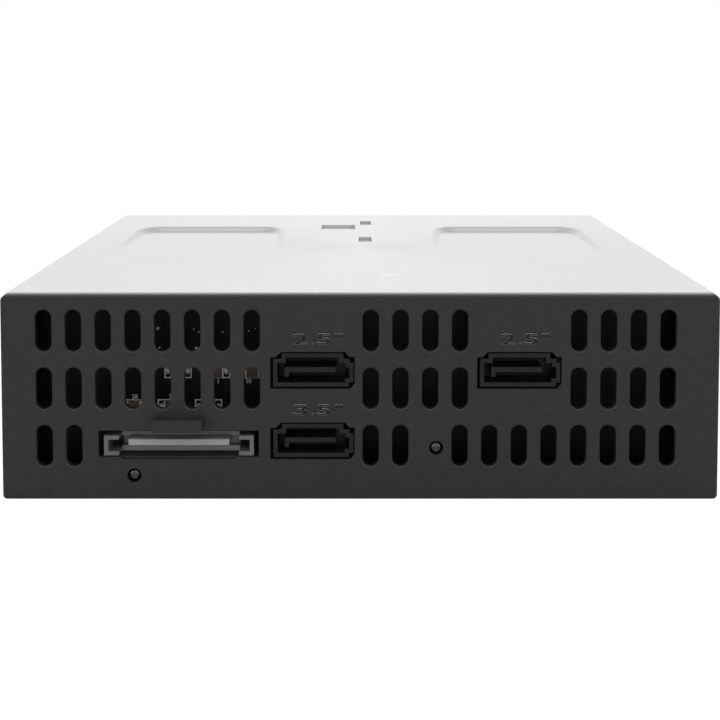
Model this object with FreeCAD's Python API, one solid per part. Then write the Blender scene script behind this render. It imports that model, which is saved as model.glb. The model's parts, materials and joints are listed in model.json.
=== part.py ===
import FreeCAD, Part
import math
import os

from FreeCAD import Vector

# Hot swap drive cage for one half-height 5.25 inch bay: two 2.5 inch bays side by side
# over one 3.5 inch bay. Millimetres. The doors face -Y, the ports face +Y, +Z is up.
# The origin is the centre of the underside.

# Overall
panel_width = 146.0
panel_height = 42.0
case_depth = 162.0
bezel_depth = 6.0
hood_proud = 3.6
overall_depth = bezel_depth + case_depth + hood_proud
front_y = -overall_depth / 2
case_front_y = front_y + bezel_depth
rear_y = case_front_y + case_depth

# Fits
sheet_gap = 0.05
running_gap = 0.1
slot_gap = 0.2
overlap = 0.01

# Cover and tray
cover_sheet = 0.8
cover_inset = 0.35
cover_rise = 0.4
cover_bend = 1.2
cover_skirt_z = 0.4
tray_sheet = 1.0
tray_bend = 1.4

cover_top_z = panel_height + cover_rise
cover_half = panel_width / 2 - cover_inset
cover_inner_half = cover_half - cover_sheet
cover_inner_z = cover_top_z - cover_sheet
tray_half = cover_inner_half - sheet_gap
tray_inner_half = tray_half - tray_sheet

# Pressed hold-down ramps in the cover, deepest at their front wall
ramp_width = 43.5
ramp_offset = 40.3
ramp_wall_from_rear = 124.4
ramp_end_from_rear = 70.2
ramp_depth = 1.0
ramp_corner = 6.5
ramp_lean = 1.5
ramp_spare = 0.5
ramp_skin = cover_sheet * (math.hypot(1, ramp_lean) - ramp_lean)

# Lancing slots in the cover: centre x, width, distances of both ends from the rear face
cover_slots = [
    (5.75, 9.6, 121.0, 132.9),
    (-2.1, 3.1, 133.5, 143.7),
    (-1.7, 3.4, 89.9, 101.9),
]

# Drives that the bays take
large_drive_width = 101.6
large_drive_length = 147.0
small_drive_width = 69.85
small_drive_length = 100.2
large_play = 0.8
small_play = 0.25

# Rear panel
panel_flange = 1.2
panel_step = 0.8
panel_top_corner = 1.2
panel_bottom_corner = 0.9
panel_edge = 0.35
rim_wall = 1.5
rim_depth = 6.0

vent_width = 3.35
vent_height = 8.55
vent_pitch = 6.046
vent_first_x = 64.35
vent_top_z = panel_height - 7.27
vent_row_pitch = 11.84
vent_rim = 0.25
vent_rows = [
    [0, 1, 2, 3, 4, 5, 6, 7, 11, 12, 13, 14, 18, 19, 20, 21],
    [0, 1, 2, 3, 4, 5, 6, 7, 11, 12, 13, 14, 18, 19, 20, 21],
    [0, 1, 11, 12, 14, 15, 16, 17, 18, 19, 20, 21],
]

# Data ports: centre x and z of each cut-out
port_places = [(9.7, panel_height - 15.4), (-32.37, panel_height - 15.4), (9.7, panel_height - 29.94)]
port_half = 8.6
port_low = 3.8
port_high = 3.8
port_shoulder = 1.1
port_chamfer = 1.1
port_recess = 0.3
port_depth = 7.0
shroud_near = 8.03
shroud_far = 8.38
shroud_low = 3.45
shroud_high = 3.5
shroud_crown = 6.3
shroud_shoulder = 2.35
shroud_step = 7.6
shroud_step_z = 1.55
shroud_notch = 7.46
shroud_notch_z = 2.6
shroud_wall = 0.9
data_tongue_length = 10.41
data_tongue_thick = 1.0
data_key_height = 2.0
data_key_width = 0.9
data_tongue_shift = 0.5
data_tongue_lift = 0.55
contact_pitch = 1.27
contact_width = 0.6
contact_thick = 0.15
contact_setback = 2.4

# Power inlet
inlet_x = 37.0
inlet_z = panel_height - 30.5
inlet_width = 32.7
inlet_height = 5.45
inlet_relief_width = 23.2
inlet_relief_height = 0.45
inlet_relief_depth = 0.8
shelf_reach = 3.0
shelf_thick = 1.0
power_tongue_length = 20.57
power_tongue_thick = 1.23
power_tongue_reach = 4.0
power_tongue_lift = 0.2
inlet_core_width = 24.4
inlet_core_height = 4.1
inlet_pocket_depth = 2.5
inlet_pocket_height = 2.1
inlet_pocket_drop = 0.6
bracket_width = 3.05
bracket_height = 4.15
bracket_wall = 0.85
bracket_span = 30.6
bracket_drop = 0.5
inlet_recess = 0.4

# Hood over the inlet, open below
hood_width = 10.1
hood_top_z = panel_height - 24.9
hood_height = 2.5
hood_wall = 1.1
hood_arm = 1.2

# Long screws through panel, board and tray, their heads sunk in two round holes
board_screw_hole = 2.9
board_screw_recess = 0.4
board_screw_head = 1.3
board_screw_head_height = 1.3
board_screw_dome = 0.9
board_screw_grip = 3.0
board_screw_slot = 0.4
board_boss_radius = 2.6
board_screw_places = [(-15.5, panel_height - 31.4), (46.1, panel_height - 37.05)]

# Boards
board_setback = 11.5
board_thick = 1.6
board_half = 68.5
board_low_z = 2.4
board_tab_half = 3.0
board_high_z = 40.4
upper_board_thick = 1.2
upper_board_lift = 1.2
upper_board_side_gap = 2.5
upper_board_end_gap = 6.0

board_rear_y = rear_y - board_setback
board_front_y = board_rear_y - board_thick
board_shoulder_y = rear_y - board_screw_recess - board_screw_head_height

# Drive sockets, 22 way
socket_reach = 9.0
socket_engagement = 4.5
socket_width = 40.0
socket_height = 4.8
socket_wall = 0.9
socket_mouth_depth = 6.5
socket_line = 3.5
socket_key_shift = 5.2
socket_key_width = 1.4
power_row_start = -17.6
data_row_start = 9.0
large_socket_offset = -20.9
small_socket_offset = -4.0

# Header between the boards: centre x, width, reach, height
link_size = (-42.0, 40.0, 9.5, 5.5)

# Parts on the boards: cans at (x, z) or (x, y), chips with their width and height
rear_can_radius = 2.5
rear_can_height = 6.0
rear_can_places = [(17.0, 35.5), (-26.5, 35.5), (-40.5, 35.5)]
upper_can_radius = 3.15
upper_can_height = 5.8
upper_can_places = [(30.0, 48.0), (44.0, 48.0)]
chip_thick = 1.2
rear_chips = [(2.0, 32.0, 7.0, 5.0), (4.0, 16.5, 7.0, 5.0), (-38.0, 14.5, 8.0, 4.0)]
upper_chips = [(8.0, 40.0, 8.0, 8.0), (-30.0, 34.0, 10.0, 10.0)]

# Stack of bays, from the floor up
runner_height = 1.0
large_bay_height = 26.3
deck_sheet = 1.1
deck_runner = 1.3
deck_runner_width = 4.0
runner_setback = 12.0
ledge_setback = 12.0
ledge_width = 4.0
divider_sheet = 1.0
divider_setback = 8.0
divider_flange_margin = 2.0

large_floor_z = tray_sheet + runner_height
deck_low_z = large_floor_z + large_bay_height
deck_z = deck_low_z + deck_sheet
small_floor_z = deck_z + deck_runner

large_drive_rear_y = board_front_y - socket_reach + socket_engagement
large_drive_front_y = large_drive_rear_y - large_drive_length
small_drive_rear_y = large_drive_front_y + small_drive_length
upper_board_front_y = small_drive_rear_y + 3.6
runner_start_y = case_front_y + runner_setback
upper_board_rear_y = board_front_y - upper_board_end_gap
ledge_end_y = large_drive_rear_y - ledge_setback

# Bay walls
small_bay_out = divider_sheet / 2 + small_drive_width + small_play
rail_wall = 0.75
large_bay_left = -tray_inner_half + sheet_gap + rail_wall
large_bay_right = large_bay_left + large_drive_width + large_play
bay_wall_sheet = 1.5
foot_width = 8.0
foot_height = 1.2
bay_wall_x = large_bay_right + running_gap
guide_height = 8.0

# Ejector slides, flat under the drives
slide_width = 13.0
slide_tab_width = 3.0
slide_tab_inset = 0.3
slide_tab_height = 6.0
slide_tab_sheet = 0.8
slide_hook_gap = 0.4
slide_front_gap = 0.5
rack_spare = 3.0
stud_radius = 1.6
stud_inset = 6.0
stud_front = 24.0
stud_spacing = 55.0

# Gears that drive the ejector slides
gear_module = 0.75
pressure_angle = math.radians(20.0)
addendum = 0.9 * gear_module
dedendum = 1.15 * gear_module
tooth_backlash = 0.12
small_teeth = 16
large_teeth = 20
door_swing = math.radians(100.0)
sector_overrun = math.radians(8.0)

# Bezel and doors
bezel_half = cover_half
bezel_top_z = 41.3
bezel_corner = 1.0
bezel_post_half = 0.5
bezel_side_wall = 0.9
bezel_edge = 0.5
field_margin = 4.8
field_depth = 0.3
door_thick = 2.4
door_skin = 1.4
door_gap = 0.1
barrel_radius = 0.95
pin_radius = 0.5
pin_clearance = 0.05
pin_grip = 0.6
hinge_room = 0.35
large_opening_low = tray_sheet
large_opening_high = deck_low_z - 0.1
small_opening_low = deck_z
small_opening_high = 40.4
column_wall = 2.0
column_x = bay_wall_x + bay_wall_sheet
rib_wall = 1.2
rib_lift = 1.8
door_pad_thick = 0.6
small_pad = (20.0, 50.0, 36.7, 38.7)
large_pad = (-45.0, 8.0, 12.0, 17.0)
grip_depth = 0.8
grip_height = 5.0
grip_width = 12.0
grip_inset = 2.5

# Air slots in the doors: first x, last x, low and high end of each band
air_slot_pitch = 2.8
air_slot_width = 1.3
small_air_bands = [(19.0, 64.0, 32.9, 36.2)]
large_air_bands = [(-16.0, 64.0, 18.5, 24.5), (-16.0, 64.0, 5.5, 10.5)]

hinge_x = cover_half - barrel_radius
hinge_y = front_y + door_skin
small_free_x = bezel_post_half + door_gap
large_free_x = large_bay_right + door_gap
large_sector_end_y = hinge_y + gear_module * large_teeth / 2 + addendum + hinge_room

# Power buttons and lamps
button_x = 44.0
lamp_x = 56.0
button_radius = 3.5
button_flange = 4.0
button_flange_thick = 1.0
button_stem_radius = 1.5
button_travel = 0.8
button_recess = 0.2
button_pitch = 8.4
button_low_z = 6.6
leaf_thick = 0.3
leaf_width = 2.4
leaf_foot = 4.5
leaf_lean = 0.6
plunger_radius = 1.7
lamp_radius = 1.2
lamp_chip_height = 1.0
lamp_gap = 0.3
front_board_y = front_y + 10.8
front_board_thick = 1.2
switch_side = 6.0
switch_height = 2.7
front_post_x = 66.0
front_post_radius = 2.2
front_post_levels = [5.6, 24.6]
hook_xs = [12.0, 60.0]
hook_half = 6.0
hook_reach = 7.0
hook_thick = 0.8
front_screw_grip = 4.0
cable_socket_x = 60.0
cable_socket_thick = 3.0
cable_socket_reach = 5.0
cable_thick = 0.3
cable_low_z = 6.0
cable_high_z = 18.0

# Fasteners
mount_screw_radius = 1.5
mount_first = 47.4
mount_pitch = 79.25
mount_low_z = 10.0
mount_high_z = 21.84
cover_screw_x = -6.4
cover_screw_from_rear = 26.7
csk_head_radius = 2.8
csk_depth = cover_sheet
side_screw_depth = 1.2
m3_radius = 1.5
m3_hole = 1.6
side_screw_head = 2.3
side_screw_radius = 1.1
side_screw_levels = [12.0, 24.0]
side_screw_inset = 5.0
post_radius = 3.2
m2_radius = 1.0
m2_head_radius = 1.9
m2_head_height = 1.2
upper_pad_radius = 2.5
upper_pad_x = 60.0
upper_pad_inset = 6.0

mount_ys = [case_front_y + mount_first, case_front_y + mount_first + mount_pitch]


def block(x0, x1, y0, y1, z0, z1):
    return Part.makeBox(x1 - x0, y1 - y0, z1 - z0, Vector(x0, y0, z0))


def rod_x(radius, x0, x1, y, z):
    return Part.makeCylinder(radius, x1 - x0, Vector(x0, y, z), Vector(1, 0, 0))


def rod_y(radius, y0, y1, x, z):
    return Part.makeCylinder(radius, y1 - y0, Vector(x, y0, z), Vector(0, 1, 0))


def rod_z(radius, z0, z1, x, y):
    return Part.makeCylinder(radius, z1 - z0, Vector(x, y, z0), Vector(0, 0, 1))


def polygon(points):
    return Part.Face(Part.makePolygon(points + points[:1]))


def plate_xz(points, y0, y1):
    """Prism along Y of an outline given as (x, z) pairs."""
    return polygon([Vector(x, y0, z) for x, z in points]).extrude(Vector(0, y1 - y0, 0))


def plate_yz(points, x0, x1):
    """Prism along X of an outline given as (y, z) pairs."""
    return polygon([Vector(x0, y, z) for y, z in points]).extrude(Vector(x1 - x0, 0, 0))


def plate_xy(points, z0, z1):
    """Prism along Z of an outline given as (x, y) pairs."""
    return polygon([Vector(x, y, z0) for x, y in points]).extrude(Vector(0, 0, z1 - z0))


def rounded_plate(half, z0, z1, low_radius, high_radius, y0, y1):
    """Upright plate with rounded lower and upper corners, extruded along Y."""
    diagonal = 1 - math.sqrt(0.5)
    edges = []
    corners = [
        (1, z0, 1, low_radius),
        (1, z1, -1, high_radius),
        (-1, z1, -1, high_radius),
        (-1, z0, 1, low_radius),
    ]
    ends = []
    for side, z, up, radius in corners:
        level = Vector(side * (half - radius), y0, z)
        middle = Vector(side * (half - radius * diagonal), y0, z + up * radius * diagonal)
        upright = Vector(side * half, y0, z + up * radius)
        run = [level, middle, upright]
        if side * up < 0:
            run.reverse()
        ends.append(run)
    for place, run in enumerate(ends):
        edges.append(Part.Arc(*run).toShape())
        following = ends[(place + 1) % len(ends)]
        edges.append(Part.LineSegment(run[2], following[0]).toShape())
    return Part.Face(Part.Wire(edges)).extrude(Vector(0, y1 - y0, 0))


def upright_slot(x, z, width, height, y0, y1):
    radius = width / 2
    half_run = height / 2 - radius
    slot = block(x - radius, x + radius, y0, y1, z - half_run, z + half_run)
    slot = slot.fuse(rod_y(radius, y0, y1, x, z - half_run))
    return slot.fuse(rod_y(radius, y0, y1, x, z + half_run)).removeSplitter()


def countersunk(position, direction, head, depth, shank, length):
    """Countersunk screw whose flat head lies at position and whose shank runs along direction."""
    cone = Part.makeCone(head, shank, depth, position, direction)
    return cone.fuse(Part.makeCylinder(shank, length, position, direction)).removeSplitter()


def joined(first, others):
    return first.fuse(others).removeSplitter()


def mirror_x(shape):
    return shape.mirror(Vector(0, 0, 0), Vector(1, 0, 0))


# Cover and tray


def ramp_outline(x, half, front, end_y, radius, z):
    """Plan outline of a ramp at one level, rounded in front."""
    shift = radius * (1 - math.sqrt(0.5))
    left = x - half
    right = x + half
    edges = [
        Part.LineSegment(Vector(left, end_y, z), Vector(left, front + radius, z)),
        Part.Arc(
            Vector(left, front + radius, z), Vector(left + shift, front + shift, z),
            Vector(left + radius, front, z),
        ),
        Part.LineSegment(Vector(left + radius, front, z), Vector(right - radius, front, z)),
        Part.Arc(
            Vector(right - radius, front, z), Vector(right - shift, front + shift, z),
            Vector(right, front + radius, z),
        ),
        Part.LineSegment(Vector(right, front + radius, z), Vector(right, end_y, z)),
        Part.LineSegment(Vector(right, end_y, z), Vector(left, end_y, z)),
    ]
    return Part.Wire([edge.toShape() for edge in edges])


def make_ramp(side, lowered, grown):
    """Solid of one hold-down ramp: walls that lean inwards, over a floor that slopes up to the rear."""
    x = side * ramp_offset
    wall_y = rear_y - ramp_wall_from_rear
    end_y = rear_y - ramp_end_from_rear
    top = cover_top_z - lowered
    outlines = []
    for depth in (ramp_depth + ramp_spare, -ramp_spare):
        reach = grown - ramp_lean * depth
        outlines.append(ramp_outline(
            x, ramp_width / 2 + reach, wall_y - reach, end_y, ramp_corner + reach, top - depth,
        ))
    press = Part.makeLoft(outlines, True, True)
    start_y = wall_y - grown
    wedge = [(start_y, top - ramp_depth), (end_y, top), (end_y, top + 1), (start_y, top + 1)]
    far = ramp_width / 2 + ramp_corner
    return press.common(plate_yz(wedge, x - far, x + far))


def side_bores(side, radius):
    """The four mounting bores on one side, through cover and tray alike."""
    x0, x1 = sorted((side * (tray_inner_half - 5), side * (cover_half + 5)))
    return [rod_x(radius, x0, x1, y, z) for y in mount_ys for z in (mount_low_z, mount_high_z)]


def make_top_cover():
    end_y = rear_y - panel_flange
    outer = rounded_plate(cover_half, cover_skirt_z, cover_top_z, 0.1, cover_bend, case_front_y, end_y)
    outer = outer.cut(block(-cover_half, cover_half, case_front_y, end_y, 0, cover_skirt_z + 0.2))
    inner_bend = cover_bend - cover_sheet
    inner = rounded_plate(cover_inner_half, -2, cover_inner_z, 0.1, inner_bend, case_front_y - 1, end_y + 1)
    cover = outer.cut(inner)
    room = block(
        -cover_half, cover_half, case_front_y, end_y,
        cover_inner_z - ramp_depth - 1, cover_inner_z + overlap,
    )
    for side in (-1, 1):
        backing = make_ramp(side, cover_sheet, ramp_skin).common(room)
        cover = cover.fuse(backing).cut(make_ramp(side, 0, 0))
    cuts = []
    for x, width, near, far in cover_slots:
        half = width / 2
        cuts.append(block(
            x - half, x + half, rear_y - far, rear_y - near, cover_inner_z - 1, cover_top_z + 1,
        ))
    screw_top = Vector(cover_screw_x, rear_y - cover_screw_from_rear, cover_top_z)
    head = csk_head_radius + sheet_gap
    cuts.append(countersunk(screw_top, Vector(0, 0, -1), head, csk_depth, m3_hole, 3))
    for side in (-1, 1):
        cuts += side_bores(side, mount_screw_radius + slot_gap)
        cuts += [side_screw(side, z, sheet_gap) for z in side_screw_levels]
    return cover.cut(cuts).removeSplitter()


def side_screw(side, z, grown):
    place = Vector(side * cover_half, rear_y - side_screw_inset, z)
    length = cover_half - (tray_inner_half - sheet_gap - rim_wall)
    head = side_screw_head + grown
    shank = side_screw_radius + grown
    return countersunk(place, Vector(-side, 0, 0), head, side_screw_depth, shank, length)


def make_base_tray():
    end_y = rear_y - panel_flange
    start_y = case_front_y
    side_top = deck_low_z
    outer = block(-tray_half, tray_half, start_y, end_y, 0, side_top)
    bends = []
    for edge in outer.Edges:
        if edge.BoundBox.YLength > 1 and edge.CenterOfMass.z < 0.1:
            bends.append(edge)
    outer = outer.makeFillet(tray_bend, bends)
    inner_bend = tray_bend - tray_sheet
    inner = rounded_plate(tray_inner_half, tray_sheet, side_top + 5, inner_bend, 0.1, start_y - 1, end_y + 1)
    tray = outer.cut(inner)
    notch_z = tray_sheet + runner_height
    tray = tray.cut(block(
        -tray_half - 1, -tray_inner_half + 1, start_y - 1, large_sector_end_y, tray_sheet, notch_z,
    ))
    for x, z in board_screw_places:
        tab = block(
            x - board_tab_half, x + board_tab_half, board_front_y - tray_sheet, board_front_y,
            tray_sheet - overlap, z + board_tab_half,
        )
        tray = tray.fuse(tab).cut(rod_y(m2_radius, board_front_y - 3, board_front_y + 1, x, z))
    for side in (-1, 1):
        tray = tray.cut(side_bores(side, mount_screw_radius))
        tray = tray.cut([side_screw(side, z, sheet_gap) for z in side_screw_levels])
    return tray.removeSplitter()


# Rear panel


def port_outline(x, z):
    """Cut-out of a data port as (x, z) pairs."""
    shoulder = port_high - port_shoulder
    corner = port_chamfer * 0.8
    points = [
        (port_half, -port_low),
        (port_half, shoulder),
        (port_half - port_shoulder, shoulder),
        (port_half - port_shoulder - port_chamfer, port_high),
        (-port_half + port_shoulder + corner, port_high),
        (-port_half + port_shoulder, shoulder + 0.1),
        (-port_half, shoulder + 0.1),
        (-port_half, -port_low + port_chamfer),
        (-port_half + corner, -port_low),
    ]
    return [(x + dx, z + dz) for dx, dz in points]


def make_rear_panel():
    inner_y = rear_y - panel_flange
    step_y = inner_y - panel_step
    rim_y = step_y - rim_depth
    outline = (panel_width / 2, 0, panel_height, panel_bottom_corner, panel_top_corner)
    flange = rounded_plate(*outline, inner_y, rear_y)
    rear_edges = [edge for edge in flange.Edges if abs(edge.CenterOfMass.y - rear_y) < 0.01]
    flange = flange.makeFillet(panel_edge, rear_edges)
    vents = []
    for row, columns in enumerate(vent_rows):
        z = vent_top_z - row * vent_row_pitch
        for column in columns:
            x = vent_first_x - column * vent_pitch
            vents.append(upright_slot(x, z, vent_width, vent_height, rim_y - 1, rear_y + 1))
    flange = round_vents(flange.cut(vents))
    step_half = tray_inner_half - sheet_gap
    step_low = tray_sheet + sheet_gap
    step_high = cover_inner_z - sheet_gap
    low_corner = tray_bend - tray_sheet + sheet_gap
    high_corner = cover_bend - cover_sheet + sheet_gap
    step = rounded_plate(step_half, step_low, step_high, low_corner, high_corner, rim_y, inner_y)
    step = step.cut(block(
        -step_half + rim_wall, step_half - rim_wall, rim_y - 1, step_y,
        step_low + rim_wall, step_high - rim_wall,
    ))
    bosses = []
    for x, z in board_screw_places:
        bosses.append(rod_y(board_boss_radius, board_rear_y + sheet_gap, inner_y, x, z))
    panel = flange.fuse([step.cut(vents)] + bosses)
    cuts = [plate_xz(port_outline(x, z), rim_y - 1, rear_y + 1) for x, z in port_places]
    for x, z in board_screw_places:
        cuts.append(rod_y(board_screw_hole / 2, board_shoulder_y, rear_y + 1, x, z))
        cuts.append(rod_y(m2_radius + running_gap, board_rear_y, rear_y, x, z))
    half = inlet_width / 2
    low = inlet_z - inlet_height / 2
    cuts.append(block(inlet_x - half, inlet_x + half, rim_y - 1, rear_y + 1, low, low + inlet_height))
    relief = inlet_relief_width / 2
    cuts.append(block(
        inlet_x - relief, inlet_x + relief, rear_y - inlet_relief_depth, rear_y + 1,
        low - inlet_relief_height, inlet_z,
    ))
    panel = panel.cut(cuts)
    shelf = block(
        inlet_x - half, inlet_x + half, step_y - shelf_reach, step_y + overlap, low - shelf_thick, low,
    )
    panel = panel.fuse([shelf, make_hood()])
    for side in (-1, 1):
        panel = panel.cut([side_screw(side, z, 0) for z in side_screw_levels])
    return panel.removeSplitter()


def round_vents(flange):
    """Chamfers the vents' rims on the outer face."""
    rims = []
    for face in flange.Faces:
        if abs(face.CenterOfMass.y - rear_y) > 0.01 or len(face.Wires) < 2:
            continue
        for wire in face.Wires:
            if abs(wire.BoundBox.XLength - vent_width) < 0.01:
                rims += wire.Edges
    return flange.makeChamfer(vent_rim, rims)


def make_hood():
    low = hood_top_z - hood_height
    half = hood_width / 2
    outer_y = rear_y + hood_proud
    wall = block(inlet_x - half, inlet_x + half, outer_y - hood_wall, outer_y, low, hood_top_z)
    arms = [
        block(inlet_x - half, inlet_x - half + hood_arm, rear_y - 0.1, outer_y, low, hood_top_z),
        block(inlet_x + half - hood_arm, inlet_x + half, rear_y - 0.1, outer_y, low, hood_top_z),
    ]
    return joined(wall, arms)


# Ports


def shroud_outline(x, z, wall):
    """Stepped outline of a data port's shroud, its wall taken off for the hollow."""
    points = [
        (shroud_near - wall, -shroud_low + wall),
        (shroud_near - wall, shroud_shoulder - wall),
        (shroud_crown - wall, shroud_shoulder - wall),
        (shroud_crown - wall, shroud_high - wall),
        (-shroud_crown + wall, shroud_high - wall),
        (-shroud_crown + wall, shroud_shoulder - wall),
        (-shroud_step + wall, shroud_shoulder - wall),
        (-shroud_step + wall, shroud_step_z - wall),
        (-shroud_far + wall, shroud_step_z - wall),
        (-shroud_far + wall, -shroud_notch_z + wall),
        (-shroud_notch + wall, -shroud_notch_z + wall),
        (-shroud_notch + wall, -shroud_low + wall),
    ]
    return [(x + dx, z + dz) for dx, dz in points]


def make_data_port(x, z):
    """Stepped shroud with a closed back and an L-keyed tongue."""
    mouth_y = rear_y - port_recess
    floor_y = mouth_y - port_depth
    shroud = plate_xz(shroud_outline(x, z, 0), board_rear_y, mouth_y)
    shroud = shroud.cut(plate_xz(shroud_outline(x, z, shroud_wall), floor_y, mouth_y + 1))
    tongue_half = data_tongue_length / 2
    centre = x + data_tongue_shift
    end = centre + tongue_half
    top = z + data_tongue_lift
    tip_y = mouth_y - 0.3
    tongue = block(centre - tongue_half, end, floor_y - 0.1, tip_y, top - data_tongue_thick, top)
    key = block(end - data_key_width, end, floor_y - 0.1, tip_y, top - data_key_height, top)
    return joined(shroud, [tongue, key])


def make_data_contacts():
    contacts = []
    for x, z in port_places:
        under = z + data_tongue_lift - data_tongue_thick
        for place in range(-3, 4):
            cx = x + 0.1 + place * contact_pitch
            contacts.append(block(
                cx - contact_width / 2, cx + contact_width / 2,
                rear_y - port_recess - port_depth, rear_y - contact_setback,
                under - contact_thick, under,
            ))
    return Part.makeCompound(contacts)


def make_power_inlet():
    """Block with a pocket across its mouth and a flat tongue out of the pocket."""
    mouth_y = rear_y - inlet_recess
    core_y = mouth_y - power_tongue_reach
    pocket_y = core_y - inlet_pocket_depth
    core_half = inlet_core_width / 2
    low = inlet_z - bracket_drop - inlet_core_height / 2
    core = block(inlet_x - core_half, inlet_x + core_half, board_rear_y, core_y, low, low + inlet_core_height)
    tongue_z = inlet_z + power_tongue_lift
    room = inlet_pocket_height / 2
    core = core.cut(block(
        inlet_x - core_half - 1, inlet_x + core_half + 1, pocket_y, core_y + 1,
        tongue_z - inlet_pocket_drop - room, tongue_z - inlet_pocket_drop + room,
    ))
    half = power_tongue_length / 2
    thick = power_tongue_thick / 2
    tongue = block(
        inlet_x - half, inlet_x + half, pocket_y - 0.1, mouth_y, tongue_z - thick, tongue_z + thick,
    )
    return joined(core, [tongue])


def make_inlet_guides():
    """The two C-shaped guide posts at the ends of the power inlet."""
    mouth_y = rear_y - inlet_recess
    centre_z = inlet_z - bracket_drop
    low = centre_z - bracket_height / 2
    high = centre_z + bracket_height / 2
    guides = []
    for side in (-1, 1):
        outer = inlet_x + side * bracket_span / 2
        inner = outer - side * bracket_width
        x0, x1 = sorted((outer, inner))
        body = block(x0, x1, board_rear_y, mouth_y, low, high)
        hollow0, hollow1 = sorted((outer - side * bracket_wall, inner - side * 1.0))
        body = body.cut(block(
            hollow0, hollow1, board_rear_y + 2, mouth_y + 1, low + bracket_wall, high - bracket_wall,
        ))
        guides.append(body)
    return Part.makeCompound(guides)


def make_power_contacts():
    under = inlet_z + power_tongue_lift - power_tongue_thick / 2
    start_y = rear_y - inlet_recess - power_tongue_reach
    contacts = []
    for place in range(-7, 8):
        x = inlet_x + place * contact_pitch
        contacts.append(block(
            x - contact_width / 2, x + contact_width / 2, start_y, rear_y - contact_setback,
            under - contact_thick, under,
        ))
    return Part.makeCompound(contacts)


# Boards and sockets


def make_backplane():
    board = block(-board_half, board_half, board_front_y, board_rear_y, board_low_z, board_high_z)
    for x, z in board_screw_places:
        board = board.cut(rod_y(m2_radius + running_gap, board_front_y - 1, board_rear_y + 1, x, z))
    return board


def make_upper_board():
    x = cover_inner_half - upper_board_side_gap
    low = deck_z + upper_board_lift
    board = block(-x, x, upper_board_front_y, upper_board_rear_y, low, low + upper_board_thick)
    for pad_x, pad_y in upper_pad_places():
        board = board.cut(rod_z(m2_radius + running_gap, low - 1, low + 3, pad_x, pad_y))
    screw_y = rear_y - cover_screw_from_rear
    return board.cut(rod_z(post_radius + 0.4, low - 1, low + 3, cover_screw_x, screw_y))


def socket_shell(x, z, y_mouth, y_base):
    """Socket open towards -Y, with its step between the data and the power row."""
    half = socket_width / 2
    high = socket_height / 2
    body = block(x - half, x + half, y_mouth, y_base, z - high, z + high)
    floor_y = y_mouth + socket_mouth_depth
    body = body.cut(block(
        x - half + socket_wall, x + half - socket_wall, y_mouth - 1, floor_y,
        z - high + socket_wall, z + high - socket_wall,
    ))
    key_x = x + socket_key_shift
    return joined(body, [block(key_x, key_x + socket_key_width, y_mouth, floor_y + 0.1, z - high, z + high)])


def make_large_socket():
    x = (large_bay_left + large_bay_right) / 2 + large_socket_offset
    return socket_shell(x, large_floor_z + socket_line, board_front_y - socket_reach, board_front_y)


def make_small_socket(side):
    low = deck_z + upper_board_lift + upper_board_thick
    mouth = small_drive_rear_y - socket_engagement
    x = side * (divider_sheet / 2 + small_bay_out) / 2 + small_socket_offset
    return socket_shell(x, low + socket_height / 2, mouth, mouth + socket_reach)


def make_socket_contacts():
    low = deck_z + upper_board_lift + upper_board_thick
    places = [(
        (large_bay_left + large_bay_right) / 2 + large_socket_offset,
        large_floor_z + socket_line - socket_height / 2 + socket_wall,
        board_front_y - socket_reach,
    )]
    for side in (-1, 1):
        x = side * (divider_sheet / 2 + small_bay_out) / 2 + small_socket_offset
        places.append((x, low + socket_wall, small_drive_rear_y - socket_engagement))
    contacts = []
    for x, z, mouth in places:
        for first, number in ((power_row_start, 15), (data_row_start, 7)):
            for place in range(number):
                cx = x + first + place * contact_pitch
                contacts.append(block(cx, cx + contact_width, mouth + 0.8, mouth + 6.4, z, z + contact_thick))
    return Part.makeCompound(contacts)


def make_board_link():
    """Right-angle header that joins the upper board to the backplane."""
    low = deck_z + upper_board_lift + upper_board_thick
    centre, width, reach, height = link_size
    return block(
        centre - width / 2, centre + width / 2, board_front_y - reach, board_front_y, low, low + height,
    )


def make_capacitors():
    """Electrolytic cans, some on the backplane and some on the upper board."""
    low = deck_z + upper_board_lift + upper_board_thick
    cans = []
    for x, z in rear_can_places:
        cans.append(rod_y(rear_can_radius, board_rear_y, board_rear_y + rear_can_height, x, z))
    for x, y in upper_can_places:
        cans.append(rod_z(upper_can_radius, low, low + upper_can_height, x, y))
    return Part.makeCompound(cans)


def make_chips():
    low = deck_z + upper_board_lift + upper_board_thick
    chips = []
    for x, z, wide, high in rear_chips:
        chips.append(block(x, x + wide, board_rear_y, board_rear_y + chip_thick, z, z + high))
    for x, y, wide, long in upper_chips:
        chips.append(block(x, x + wide, y, y + long, low, low + chip_thick))
    return Part.makeCompound(chips)


# Bays


def upper_pad_places():
    ys = (upper_board_front_y + upper_pad_inset, upper_board_rear_y - upper_pad_inset)
    return [(side * upper_pad_x, y) for side in (-1, 1) for y in ys]


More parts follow.
